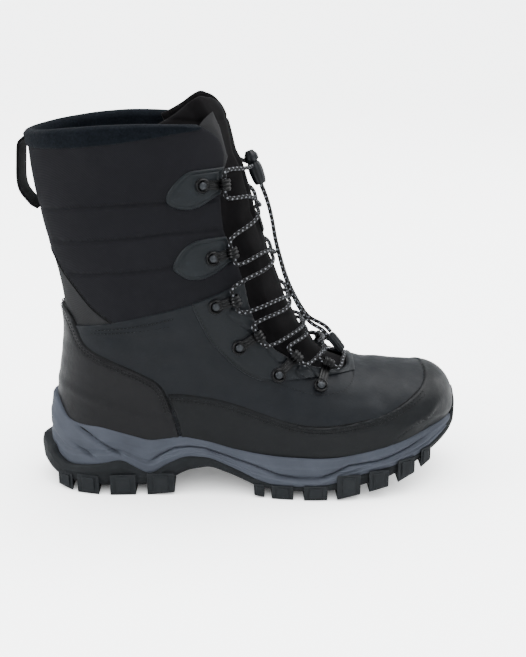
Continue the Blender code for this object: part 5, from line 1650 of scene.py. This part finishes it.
def edge_lug(lug, side):
    corners = {}
    plan = rubber_edge(side)
    for i, x_share in enumerate((lug.start, lug.end)):
        x = x_share * SOLE_LENGTH
        y = float(np.interp(x, plan[:, 0], plan[:, 1]))
        ground = float(sole_height(x, "ground"))
        tread = float(sole_height(x, "tread_base")) + LUG_SINK
        top = max(lug.top * COLLAR_HEIGHT, tread)
        for far, across in ((0, y + side * lug.proud), (1, y * LUG_DEPTH)):
            corners[(i, far, 0)] = Vector((x, across, ground))
            corners[(i, far, 1)] = Vector((x, across, top if far == 0 else tread))
    return lug_block(corners, looks().lug_edge)


def middle_lug(lug):
    corners = {}
    turn = math.radians(lug.turn)
    for i in (0, 1):
        for j in (0, 1):
            along = (i - 0.5) * lug.long * SOLE_LENGTH
            wide = (j - 0.5) * lug.wide * BALL_WIDTH
            x = lug.x * SOLE_LENGTH + along * math.cos(turn) - wide * math.sin(turn)
            y = lug.y * BALL_WIDTH + along * math.sin(turn) + wide * math.cos(turn)
            corners[(i, j, 0)] = Vector((x, y, float(sole_height(x, "ground"))))
            corners[(i, j, 1)] = Vector((x, y, float(sole_height(x, "tread_base")) + LUG_SINK))
    return lug_block(corners, looks().lug_edge)


def tread_ridge(lug, side):
    """A low rib that stands on the side of the rubber over an edge lug."""
    plan = rubber_edge(side)
    x = (lug.start + lug.end) / 2 * SOLE_LENGTH
    half = (lug.end - lug.start) * SOLE_LENGTH * 0.27
    y = float(np.interp(x, plan[:, 0], plan[:, 1]))
    before, after = (float(np.interp(x + way, plan[:, 0], plan[:, 1])) for way in (-0.004, 0.004))
    slope = (after - before) / 0.008
    low = float(sole_height(x, "ground")) + 0.002
    high = lug.top * COLLAR_HEIGHT - 0.0015
    corners = {}
    for i, across in enumerate((-half, half)):
        for far, out in ((0, lug.proud + 0.0008), (1, -0.002)):
            where = y + slope * across + side * out
            corners[(i, far, 0)] = Vector((x + across, where, low))
            corners[(i, far, 1)] = Vector((x + across, where, max(high, low + 0.004)))
    return lug_block(corners, 0.0006)


def make_outsole():
    rings = sole_rings("rubber", RUBBER_SIDE, level("tread_base"), bumper_top, rubber_relief, 0.012)
    meshes = [closed_band("rubber_body", rings)]
    count = 161
    points, faces = [], []
    for level_number, rise in enumerate((0.0004, 0.0040)):
        start = len(points)
        for plan, _ in sole_plan("rubber", -0.008, count - 1):
            height = soft_height(plan[:, 0], "tread_base") + rise
            points += list(np.stack([plan[:, 0], plan[:, 1], height], 1))
        for i in range(count - 1):
            quad = (start + i, start + i + 1, start + count + i + 1, start + count + i)
            faces.append(quad if level_number else quad[::-1])
    meshes.append(mesh_of("rubber_floor", points, faces))
    for lug in EDGE_LUGS:
        for side in (-1, 1):
            meshes.append(edge_lug(lug, side))
            meshes.append(tread_ridge(lug, side))
    for lug in MIDDLE_LUGS:
        meshes.append(middle_lug(lug))
    finish = rubber_finish("tread_rubber", colour("rubber"))
    place_piece("lugged_outsole", joined("lugged_outsole", meshes), finish, "outsole", slot="rubber")


# Lacing


def hook_arm(reach, rivet, along, out, across):
    """The bent plate: an arm that narrows, and a ribbed loop that the lace runs through."""
    steps = 16
    outer = LOOP_BORE + HOOK_PLATE
    rows = []
    for way in np.linspace(-0.5, 0.5, 19):
        rib = 0.00042 * math.cos(way * 6 * math.pi)
        fade = 1 - abs(2 * way) ** 6
        angles = [math.radians(-90 + 300 * k / steps) for k in range(steps + 1)]
        r = outer + rib * fade - 0.0003 * (1 - fade)
        points = [(0.0, HOOK_RAISE), (reach * 0.5, HOOK_RAISE), (reach * 0.75, HOOK_RAISE)]
        points += [(reach + r * math.cos(a), HOOK_RAISE + outer + r * math.sin(a)) for a in angles]
        for a in angles[::-1]:
            points.append((reach + LOOP_BORE * math.cos(a), HOOK_RAISE + outer + LOOP_BORE * math.sin(a)))
        points += [(u, HOOK_RAISE + HOOK_PLATE * 1.4 + 0.8 * rib * fade) for u in (reach * 0.62, reach * 0.2)]
        points.append((0.0, HOOK_RAISE + HOOK_PLATE * 1.5))
        row = []
        for u, w in points:
            width = LOOP_WIDE * (1.0 if u > reach * 0.8 else 0.80)
            row.append(rivet + along * u + out * w + across * width * way)
        rows.append(row)
    bm = bmesh.new()
    close_rings(bm, [[bm.verts.new(point) for point in row] for row in rows])
    bmesh.ops.triangulate(bm, faces=[f for f in bm.faces if len(f.verts) > 4])
    return mesh_from(bm, "arm")


# Turned shapes: radius and height.
RING_PROFILE = [
    (0.0034, 0.0), (0.0048, 0.0), (0.0050, 0.0006), (0.0050, 0.0014), (0.0047, 0.0021),
    (0.0042, 0.0024), (0.0037, 0.0022), (0.0033, 0.0015), (0.0030, 0.0009), (0.00002, 0.0009),
]
CAP_PROFILE = [
    (0.0029, 0.0006), (0.0029, 0.0014), (0.0027, 0.0019), (0.0023, 0.0024), (0.0017, 0.0028),
    (0.0009, 0.00305), (0.00002, 0.0031),
]


def make_hooks():
    ring_metal = metal_finish("hook_metal", colour("hook"), 0.34, 0.2)
    cap_metal = metal_finish("cap_metal", colour("cap"), 0.36, 0.75)
    for number, hook in enumerate(HOOKS, 1):
        for side_name, side in (("outer", -1), ("inner", 1)):
            rivet, rivet_out, foot_point, _, along, out, across = hook_places(hook, side)
            seat = rivet - rivet_out * 0.0002
            parts = [
                turned_mesh("ring", RING_PROFILE, 40, seat, rivet_out),
                hook_arm((foot_point - rivet).length, rivet, along, out, across),
            ]
            mesh = joined(f"lace_hook_{number}_{side_name}", parts)
            node = f"hook_{number}_{side_name}"
            place_piece(f"lace_hook_{number}_{side_name}", mesh, ring_metal, node, slot="metal")
            cap = turned_mesh("cap", CAP_PROFILE, 32, seat, rivet_out)
            cap.name = f"hook_cap_{number}_{side_name}"
            place_piece(cap.name, cap, cap_metal, slot="metal")


def make_laces():
    finish = lace_finish("flecked_lace", colour("lace"), colour("fleck"))
    first = smooth_line(lace_route(-1, 0.0012))
    second = smooth_line(lace_route(1, -0.0012))
    line = even_steps(np.concatenate([first, second[::-1][1:]]), 0.0011)
    mesh = path_tube("crossed_lace", line, LACE / 2, 10)
    place_piece("crossed_lace", mesh, finish, "laces", slot="lace")


def make_lock():
    finish = plastic_finish("lock_plastic", colour("plastic"))
    top, bottom = front_place(LOCK_TOP), front_place(LOCK_BOTTOM)
    length = (top - bottom).length
    way = (top - bottom).normalized()
    low = [
        (0.0018, 0.0), (0.0034, 0.0002), (0.0040, 0.0010), (0.0046, 0.0035),
        (0.0051, length * 0.42), (0.0050, length * 0.58), (0.0044, length * 0.70),
        (0.0034, length * 0.76), (0.0001, length * 0.77),
    ]
    high = [
        (0.0028, length * 0.72), (0.0036, length * 0.77), (0.0049, length * 0.82),
        (0.0050, length * 0.95), (0.0042, length + 0.0006), (0.0034, length + 0.0016),
        (0.0030, length + 0.0026), (0.0022, length + 0.0030), (0.0001, length + 0.0031),
    ]
    parts = [
        turned_mesh("body", low, 48, bottom, way, ridges=10, ridge_depth=0.0005),
        turned_mesh("button", high, 48, bottom, way, ridges=8, ridge_depth=0.0005),
    ]
    place_piece("spring_cord_lock", joined("spring_cord_lock", parts), finish, "cord_lock", slot="plastic")


def end_lines():
    lines = []
    for places in (END_A, END_B):
        lines.append(even_steps(smooth_line([front_place(place) for place in places]), 0.0015))
    middle = (lines[0][-1] + lines[1][-1]) / 2
    ways = [Vector(line[-1] - line[-3]).normalized() for line in lines]
    way = (ways[0] + ways[1]).normalized()
    for line in lines:
        line[-1] -= np.array(way) * np.dot(line[-1] - middle, way)
    return lines, Vector(middle) + way * CLIP_CLEAR, way


def make_lace_ends():
    finish = lace_finish("flecked_lace", colour("lace"), colour("fleck"))
    lines, start, way = end_lines()
    profile = [
        (0.0026, 0.0), (0.0031, 0.0003), (0.0033, 0.0014), (CLIP_RADIUS, 0.0022),
        (CLIP_RADIUS, CLIP_LENGTH * 0.62), (0.0032, CLIP_LENGTH * 0.70), (0.0034, CLIP_LENGTH * 0.78),
        (0.0031, CLIP_LENGTH * 0.95), (0.0024, CLIP_LENGTH), (0.0001, CLIP_LENGTH),
    ]
    clip = turned_mesh("end_clip", profile, 48, start, way, ridges=12, ridge_depth=0.0004)
    plastic = plastic_finish("lock_plastic", colour("plastic"))
    clip = place_piece("end_clip", clip, plastic, "lace_clip", slot="plastic")
    for letter, line in zip("ab", lines):
        name, node = f"hanging_end_{letter}", f"lace_end_{letter}"
        mesh = path_tube(name, line, LACE / 2, 12)
        made = place_piece(name, mesh, finish, node, slot="lace")


# The keeper's steps along the tongue and across it.
KEEPER_ROWS = 14
KEEPER_COLUMNS = 32


def make_keeper():
    sections = np.linspace(*KEEPER_SECTIONS, KEEPER_ROWS + 1)
    places = np.linspace(-KEEPER_HALF, KEEPER_HALF, KEEPER_COLUMNS + 1)
    middle = TONGUE_BULGE + GAP + KEEPER_THICK / 2
    bm = bmesh.new()
    uv = bm.loops.layers.uv.new("UVMap")
    layers = []
    for way in (1, -1):
        layer = []
        for i, v in enumerate(sections):
            swell = float(quarter_circle(min(i, KEEPER_ROWS - i), 2.0))
            lift = middle + way * KEEPER_THICK / 2 * swell
            layer.append([bm.verts.new(over_front(v, y, lift)) for y in places])
        layers.append(layer)
        for i in range(KEEPER_ROWS):
            for j in range(KEEPER_COLUMNS):
                corners = ((j, i), (j + 1, i), (j + 1, i + 1), (j, i + 1))
                face = bm.faces.new([layer[row][column] for column, row in corners])
                for loop, (column, row) in zip(face.loops, corners):
                    loop[uv].uv = (column * 0.0005, row * 0.001)
    top, under = layers
    for j in (0, KEEPER_COLUMNS):
        for i in range(KEEPER_ROWS):
            bm.faces.new((top[i][j], top[i + 1][j], under[i + 1][j], under[i][j]))
    bmesh.ops.remove_doubles(bm, verts=bm.verts, dist=1e-5)
    bmesh.ops.recalc_face_normals(bm, faces=bm.faces)
    finish = tape_finish("keeper_tape", colour("tape"))
    place_piece("tongue_keeper", mesh_from(bm, "tongue_keeper", 60), finish, "lace_keeper", slot="webbing")


# How far the pull loop's tape is turned, and how its curve sags and its ends sink in.
PULL_TURN = 0.12
PULL_SAG = 0.0016
PULL_SINK = 0.0022


def make_pull_loop():
    heights = [point.z * COLLAR_HEIGHT for point in PULL_LOOP_OUT]
    fine = np.linspace(heights[0], heights[-1], 60)
    share = np.linspace(0, 1, 60)
    sag = PULL_SAG * np.sin(2 * math.pi * share)
    sewn = PULL_SINK * (np.clip(1 - share / 0.06, 0, 1) + np.clip(1 - (1 - share) / 0.06, 0, 1))
    off = spline(heights, [point.off for point in PULL_LOOP_OUT], fine) + sag - sewn
    places, outs = [], []
    for z, lift in zip(fine, off):
        before, here, after = (float(np.interp(z + way, BACK_Z, BACK_X)) for way in (-0.004, 0, 0.004))
        slope = (after - before) / 0.008
        out = Vector((-1, 0, slope)).normalized()
        places.append(Vector((here - GAP, 0, z)) + out * float(lift))
    across = Vector((PULL_TURN, 1, 0))
    for k in range(len(places)):
        way = (places[min(k + 1, len(places) - 1)] - places[max(k - 1, 0)]).normalized()
        outs.append(way.cross(across).normalized())
    mesh = strap_mesh("webbing_loop", places, outs, across.normalized(), PULL_WIDE, PULL_STRAP * 1.25)
    place_piece("webbing_loop", mesh, tape_finish("loop_tape", colour("tape")), "pull_loop", slot="webbing")


# Stitches


def stitch_tree(finish):
    """Geometry nodes: small thread loops along a curve, turned to follow it."""
    tree = bpy.data.node_groups.new("stitches", "GeometryNodeTree")
    face = tree.interface
    face.new_socket("Geometry", in_out="INPUT", socket_type="NodeSocketGeometry")
    sizes = {}
    for name, value in (("Spacing", 0.0026), ("Stitch length", 0.0019), ("Thread width", 0.0005)):
        socket = face.new_socket(name, in_out="INPUT", socket_type="NodeSocketFloat")
        socket.default_value = value
        sizes[name] = socket.identifier
    face.new_socket("Geometry", in_out="OUTPUT", socket_type="NodeSocketGeometry")
    nodes, link = tree.nodes, tree.links.new
    source = nodes.new("NodeGroupInput")
    result = nodes.new("NodeGroupOutput")
    resample = nodes.new("GeometryNodeResampleCurve")
    resample.mode = "LENGTH"
    link(source.outputs["Geometry"], resample.inputs["Curve"])
    link(source.outputs["Spacing"], resample.inputs["Length"])
    grain = nodes.new("GeometryNodeMeshUVSphere")
    grain.inputs["Segments"].default_value = 6
    grain.inputs["Rings"].default_value = 5
    grain.inputs["Radius"].default_value = 0.5
    size = nodes.new("ShaderNodeCombineXYZ")
    link(source.outputs["Stitch length"], size.inputs["X"])
    link(source.outputs["Thread width"], size.inputs["Y"])
    link(source.outputs["Thread width"], size.inputs["Z"])
    shape = nodes.new("GeometryNodeTransform")
    link(grain.outputs["Mesh"], shape.inputs["Geometry"])
    link(size.outputs["Vector"], shape.inputs["Scale"])
    tangent = nodes.new("GeometryNodeInputTangent")
    turn = nodes.new("FunctionNodeAlignRotationToVector")
    turn.axis = "X"
    link(tangent.outputs["Tangent"], turn.inputs["Vector"])
    spread = nodes.new("GeometryNodeInstanceOnPoints")
    link(resample.outputs["Curve"], spread.inputs["Points"])
    link(shape.outputs["Geometry"], spread.inputs["Instance"])
    link(turn.outputs["Rotation"], spread.inputs["Rotation"])
    real = nodes.new("GeometryNodeRealizeInstances")
    link(spread.outputs["Instances"], real.inputs["Geometry"])
    paint = nodes.new("GeometryNodeSetMaterial")
    paint.inputs["Material"].default_value = finish
    link(real.outputs["Geometry"], paint.inputs["Geometry"])
    link(paint.outputs["Geometry"], result.inputs["Geometry"])
    return tree, sizes


def stitched(name, lines, spacing, length, width, finish):
    """Stitches along lines, as one plain mesh."""
    curve = bpy.data.curves.new(name + "_path", "CURVE")
    curve.dimensions = "3D"
    for line in lines:
        if len(line) < 2:
            continue
        run = curve.splines.new("POLY")
        run.points.add(len(line) - 1)
        for point, place in zip(run.points, line):
            point.co = (*place, 1.0)
    path = bpy.data.objects.new(name + "_path", curve)
    bpy.context.scene.collection.objects.link(path)
    tree, sizes = stitch_tree(finish)
    sewing = path.modifiers.new("sewing", "NODES")
    sewing.node_group = tree
    for key, value in (("Spacing", spacing), ("Stitch length", length), ("Thread width", width)):
        sewing[sizes[key]] = value
    graph = bpy.context.evaluated_depsgraph_get()
    graph.update()
    mesh = bpy.data.meshes.new_from_object(path.evaluated_get(graph))
    mesh.name = name
    path.modifiers.remove(sewing)
    bpy.data.objects.remove(path)
    if not mesh.vertices:
        raise RuntimeError(f"{name} came out empty")
    mesh.shade_smooth()
    return place_piece(name, mesh, None, slot="lace")


def seam_on_side(line, side, lift, step=0.0012):
    """Points over the upper along a line drawn on its side."""
    fine = even_steps(np.array([(x, 0, z) for x, z in metres(line)]), step)
    found = []
    for x, _, z in fine:
        place, _ = over_surface(float(x), float(z), side, lift)
        if np.isfinite(place[:]).all():
            found.append(tuple(place))
    return found


def inset(outline, by):
    """An open run of an outline moved to its inner side, in shares of the boot's sizes."""
    line = metres(outline)
    run = np.gradient(line, axis=0)
    run /= np.linalg.norm(run, axis=1)[:, None]
    return (line + np.stack([-run[:, 1], run[:, 0]], 1) * by) / (SOLE_LENGTH, COLLAR_HEIGHT)


def make_stitches():
    thread = thread_finish("dark_thread", colour("thread"))
    top = QUARTER_STEP + OVERLAY + 0.0002
    lines = []
    for side in (-1, 1):
        for by in (0.0024, 0.0044):
            lines.append(seam_on_side(inset(softened(COUNTER_OUTLINE[1:14]), -by), side, top))
            lines.append(seam_on_side(inset(softened(RAND_OUTLINE[:12]), -by), side, top))
        for v in (11.66, 11.40):
            ring_line = spaced(half_ring(v, side), 200)
            shares = ring_line[:, 0] / SOLE_LENGTH
            kept = ring_line[(shares > -0.355) & (shares < -0.135)]
            lines.append([tuple(over_surface(x, z, side, QUARTER_STEP)[0]) for x, _, z in kept])
    stitched("seam_stitches", lines, 0.0027, 0.0021, 0.00055, thread)
    lines = []
    for side in (-1, 1):
        lines.append(seam_on_side(inset(softened(INSERT[2:-1]), 0.0014), side, 0.0001))
        lines.append(seam_on_side(inset(softened(EYESTAY_OUTLINE[1:19]), 0.0018), side, top))
    stitched("edge_stitches", lines, 0.0024, 0.0018, 0.00045, thread)


def make_edge_shadow_cords():
    """Dark cords along the edges of the counter, the rand and the insert: painted shadow where the cut edges
    shade.
    """
    finish = thread_finish("edge_paint", colour("thread"))
    tubes = []
    for side in (-1, 1):
        for outline, by, lift in (
            (COUNTER_OUTLINE[1:14], 0.0, QUARTER_STEP),
            (RAND_OUTLINE[:12], 0.0, QUARTER_STEP),
            (INSERT[2:-1], -0.0002, -0.0001),
        ):
            line = seam_on_side(inset(softened(outline), by), side, lift)
            tubes.append(path_tube("edge", line, 0.00045, 6))
    place_piece("panel_edges", joined("panel_edges", tubes), finish, slot="smooth")


# Stage


def area_light(name, place, target, size, power):
    data = bpy.data.lights.new(name, "AREA")
    data.shape = "RECTANGLE"
    data.size, data.size_y = size
    data.energy = power
    light = bpy.data.objects.new(name, data)
    light.location = place
    light.rotation_euler = (Vector(target) - Vector(place)).to_track_quat("-Z", "Y").to_euler()
    bpy.context.scene.collection.objects.link(light)


CAMERA_PLACE = (-0.010853, -0.751375, 0.3469)
CAMERA_DOWN = 17.63
CAMERA_TURN = -1.79
SENSOR_HEIGHT = 24
FLOOR_FLAT = 2.6
FLOOR_BEND = 0.9
FLOOR_TURNS = 64
Light = namedtuple("Light", "name place size power")
LIGHTS = [
    Light("key", (-1.9, -0.35, 1.2), (1.0, 1.0), 30),
    Light("fill", (0.9, -1.6, 1.1), (1.4, 1.0), 6),
    Light("top", (0.5, 0.2, 1.9), (1.6, 1.6), 40),
    Light("rim", (1.6, 0.9, 0.9), (0.8, 1.2), 12),
]


def floor_mesh():
    """A round floor that bends up far behind the boot."""
    profile = [(0.4, 0.0), (1.2, 0.0), (FLOOR_FLAT, 0.0)]
    for a in np.linspace(0.1, math.pi / 2, 14):
        profile.append((FLOOR_FLAT + FLOOR_BEND * math.sin(a), FLOOR_BEND - FLOOR_BEND * math.cos(a)))
    profile.append((FLOOR_FLAT + FLOOR_BEND, 1.8))
    turns = FLOOR_TURNS
    angles = [2 * math.pi * i / turns for i in range(turns)]
    points = [(0.0, 0.0, 0.0)]
    for r, z in profile:
        points += [(r * math.cos(a), r * math.sin(a), z) for a in angles]
    faces = [(0, 1 + i, 1 + (i + 1) % turns) for i in range(turns)]
    for j in range(len(profile) - 1):
        low, high = 1 + j * turns, 1 + (j + 1) * turns
        for i in range(turns):
            n = (i + 1) % turns
            faces.append((low + i, high + i, high + n, low + n))
    mesh = bpy.data.meshes.new("pale_sweep")
    mesh.from_pydata(points, [], faces)
    mesh.shade_smooth()
    return mesh


def make_stage():
    settings = looks()
    camera = bpy.data.cameras.new("camera")
    camera.sensor_fit = "VERTICAL"
    camera.sensor_height = SENSOR_HEIGHT
    camera.lens = settings.lens
    camera.clip_start = 0.01
    seen = bpy.data.objects.new("camera", camera)
    seen.location = CAMERA_PLACE
    seen.rotation_euler = (math.radians(90 - CAMERA_DOWN), 0, math.radians(CAMERA_TURN))
    bpy.context.scene.collection.objects.link(seen)
    bpy.context.scene.camera = seen

    mesh = floor_mesh()
    floor = bpy.data.objects.new("pale_sweep", mesh)
    bpy.context.scene.collection.objects.link(floor)
    mesh.materials.append(floor_finish(tuple(settings.floor)))

    world = bpy.data.worlds.new("soft_light")
    bpy.context.scene.world = world
    world.use_nodes = True
    background = world.node_tree.nodes["Background"]
    background.inputs["Color"].default_value = (0.93, 0.96, 1.0, 1.0)
    background.inputs["Strength"].default_value = settings.sky
    for light in LIGHTS:
        area_light(light.name, light.place, (0.0, 0.0, 0.12), light.size, light.power * settings.light)


# Settings, operators and the panel


def tint(name, text, screen):
    return FloatVectorProperty(
        name=name, description=text, subtype="COLOR", size=3, min=0, max=1, default=linear(screen)
    )


class BOOT_PG_looks(bpy.types.PropertyGroup):
    shaft: tint("Shaft cloth", "Colour of the soft-shell cloth of the shaft", (31, 31, 34))
    tongue: tint("Tongue cloth", "Colour of the tongue's cloth", (19, 18, 19))
    insert: tint("Stretch insert", "Colour of the insert at the back and of the gusset", (46, 46, 47))
    leather: tint("Leather", "Colour of the coated leather of vamp and quarter", (21, 24, 28))
    counter: tint("Heel counter", "Colour of the smooth leather round the heel", (22, 22, 24))
    rand: tint("Toe rand", "Colour of the smooth leather round the toe", (17, 19, 21))
    eyestay: tint("Eyestay", "Colour of the eyestay's leather", (27, 30, 33))
    patch: tint("Patches", "Colour of the two leaf patches under the hooks", (28, 32, 35))
    collar: tint("Collar", "Colour of the fleece of the collar band", (19, 23, 28))
    lining: tint("Lining", "Colour of the lining inside", (5, 5, 6))
    foam: tint("Midsole foam", "Colour of the midsole", (74, 78, 87))
    rubber: tint("Outsole rubber", "Colour of the outsole", (34, 36, 38))
    hook: tint("Hooks", "Colour of the hooks' coated metal", (8, 8, 9))
    cap: tint("Rivet caps", "Colour of the rivets' domed caps", (62, 64, 67))
    lace: tint("Lace", "Colour of the lace", (13, 13, 14))
    fleck: tint("Flecks", "Colour of the light flecks in the lace", (140, 142, 148))
    tape: tint("Tape", "Colour of the pull loop and the lace keeper", (13, 13, 14))
    plastic: tint("Plastic", "Colour of the cord lock and the end clip", (24, 26, 29))
    # The thread colour also paints the dark cords along the panels' edges, which are painted shadow.
    thread: tint("Thread", "Colour of the seams' thread", (11, 12, 13))
    floor: tint("Floor", "Colour of the floor", (246, 247, 247))
    quilt_depth: FloatProperty(
        name="Quilting depth", description="How deep the shaft's quilted seams are", default=0.0014, unit="LENGTH"
    )
    collar_puff: FloatProperty(
        name="Collar puff", description="How far the collar band stands out", default=0.0016, unit="LENGTH"
    )
    swoop_depth: FloatProperty(
        name="Groove depth", description="How deep the midsole's grooves are", default=0.0021, unit="LENGTH"
    )
    lug_edge: FloatProperty(
        name="Lug edge", description="Radius of the edges of the lugs", default=0.0008, unit="LENGTH"
    )
    lens: FloatProperty(name="Lens", description="Focal length of the camera", default=40.02, unit="CAMERA")
    light: FloatProperty(name="Light", description="Strength of the studio lights", default=1.0, min=0)
    sky: FloatProperty(name="Room light", description="Strength of the light from all round", default=0.8, min=0)


class BOOT_OT_stage(bpy.types.Operator):
    """Makes the camera, the floor and the lights"""

    bl_idname = "boot.stage"
    bl_label = "Stage"

    def execute(self, context):
        make_stage()
        return {"FINISHED"}


class BOOT_OT_lace_ends(bpy.types.Operator):
    """Makes the two hanging lace ends and their clip"""

    bl_idname = "boot.lace_ends"
    bl_label = "Lace ends"

    def execute(self, context):
        make_lace_ends()
        return {"FINISHED"}


class BOOT_OT_laces(bpy.types.Operator):
    """Makes the crossed lace"""

    bl_idname = "boot.laces"
    bl_label = "Laces"

    def execute(self, context):
        make_laces()
        return {"FINISHED"}


class BOOT_OT_lock(bpy.types.Operator):
    """Makes the spring cord lock"""

    bl_idname = "boot.lock"
    bl_label = "Cord lock"

    def execute(self, context):
        make_lock()
        return {"FINISHED"}


class BOOT_OT_hooks(bpy.types.Operator):
    """Makes the twelve lace hooks and their caps"""

    bl_idname = "boot.hooks"
    bl_label = "Lace hooks"

    def execute(self, context):
        make_hooks()
        return {"FINISHED"}


class BOOT_OT_shaft(bpy.types.Operator):
    """Makes the quilted shaft and the insert at its back"""

    bl_idname = "boot.shaft"
    bl_label = "Shaft"

    def execute(self, context):
        make_shaft()
        return {"FINISHED"}


class BOOT_OT_vamp(bpy.types.Operator):
    """Makes the vamp and quarter"""

    bl_idname = "boot.vamp"
    bl_label = "Vamp"

    def execute(self, context):
        make_vamp()
        return {"FINISHED"}


class BOOT_OT_counter_and_rand(bpy.types.Operator):
    """Makes the heel counter and the toe rand"""

    bl_idname = "boot.counter_and_rand"
    bl_label = "Counter and rand"

    def execute(self, context):
        make_counter_and_rand()
        return {"FINISHED"}


class BOOT_OT_eyestay(bpy.types.Operator):
    """Makes the eyestay with its embossed tabs"""

    bl_idname = "boot.eyestay"
    bl_label = "Eyestay"

    def execute(self, context):
        make_eyestay()
        return {"FINISHED"}


class BOOT_OT_patches(bpy.types.Operator):
    """Makes the four leaf patches"""

    bl_idname = "boot.patches"
    bl_label = "Patches"

    def execute(self, context):
        make_patches()
        return {"FINISHED"}


class BOOT_OT_lining(bpy.types.Operator):
    """Makes the lining and the footbed"""

    bl_idname = "boot.lining"
    bl_label = "Lining"

    def execute(self, context):
        make_lining()
        return {"FINISHED"}


class BOOT_OT_collar(bpy.types.Operator):
    """Makes the padded collar band"""

    bl_idname = "boot.collar"
    bl_label = "Collar"

    def execute(self, context):
        make_collar()
        return {"FINISHED"}


class BOOT_OT_tongue(bpy.types.Operator):
    """Makes the padded tongue"""

    bl_idname = "boot.tongue"
    bl_label = "Tongue"

    def execute(self, context):
        make_tongue()
        return {"FINISHED"}


class BOOT_OT_gusset(bpy.types.Operator):
    """Makes the cloth gusset at the top of the throat"""

    bl_idname = "boot.gusset"
    bl_label = "Gusset"

    def execute(self, context):
        make_gusset()
        return {"FINISHED"}


class BOOT_OT_keeper(bpy.types.Operator):
    """Makes the tape over the tongue"""

    bl_idname = "boot.keeper"
    bl_label = "Lace keeper"

    def execute(self, context):
        make_keeper()
        return {"FINISHED"}


class BOOT_OT_pull_loop(bpy.types.Operator):
    """Makes the webbing loop at the back"""

    bl_idname = "boot.pull_loop"
    bl_label = "Pull loop"

    def execute(self, context):
        make_pull_loop()
        return {"FINISHED"}


class BOOT_OT_midsole(bpy.types.Operator):
    """Makes the sculpted foam midsole"""

    bl_idname = "boot.midsole"
    bl_label = "Midsole"

    def execute(self, context):
        make_midsole()
        return {"FINISHED"}


class BOOT_OT_outsole(bpy.types.Operator):
    """Makes the lugged rubber outsole"""

    bl_idname = "boot.outsole"
    bl_label = "Outsole"

    def execute(self, context):
        make_outsole()
        return {"FINISHED"}


class BOOT_OT_stitches(bpy.types.Operator):
    """Sews the seams' stitches and lays dark cords of painted shadow along the panels' edges"""

    bl_idname = "boot.stitches"
    bl_label = "Stitches"

    def execute(self, context):
        make_stitches()
        make_edge_shadow_cords()
        return {"FINISHED"}


class BOOT_PT_panel(bpy.types.Panel):
    """Lists the boot's sizes, colours and pieces"""

    bl_idname = "BOOT_PT_panel"
    bl_label = "Snow boot"
    bl_space_type = "VIEW_3D"
    bl_region_type = "UI"
    bl_category = "Boot"

    def draw(self, context):
        column = self.layout.column()
        for made in OPERATORS:
            column.operator(made.bl_idname)
        for name in BOOT_PG_looks.__annotations__:
            column.prop(context.scene.boot_looks, name)


OPERATORS = [
    BOOT_OT_stage,
    BOOT_OT_lace_ends,
    BOOT_OT_laces,
    BOOT_OT_lock,
    BOOT_OT_hooks,
    BOOT_OT_shaft,
    BOOT_OT_vamp,
    BOOT_OT_counter_and_rand,
    BOOT_OT_eyestay,
    BOOT_OT_patches,
    BOOT_OT_lining,
    BOOT_OT_collar,
    BOOT_OT_tongue,
    BOOT_OT_gusset,
    BOOT_OT_keeper,
    BOOT_OT_pull_loop,
    BOOT_OT_midsole,
    BOOT_OT_outsole,
    BOOT_OT_stitches,
]


def register():
    bpy.utils.register_class(BOOT_PG_looks)
    for made in OPERATORS:
        bpy.utils.register_class(made)
    bpy.utils.register_class(BOOT_PT_panel)
    bpy.types.Scene.boot_looks = PointerProperty(type=BOOT_PG_looks)


def unregister():
    del bpy.types.Scene.boot_looks
    bpy.utils.unregister_class(BOOT_PT_panel)
    for made in reversed(OPERATORS):
        bpy.utils.unregister_class(made)
    bpy.utils.unregister_class(BOOT_PG_looks)


def main():
    register()
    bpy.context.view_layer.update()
    for made in OPERATORS:
        group, name = made.bl_idname.split(".")
        getattr(getattr(bpy.ops, group), name)()


if __name__ == "__main__":
    main()
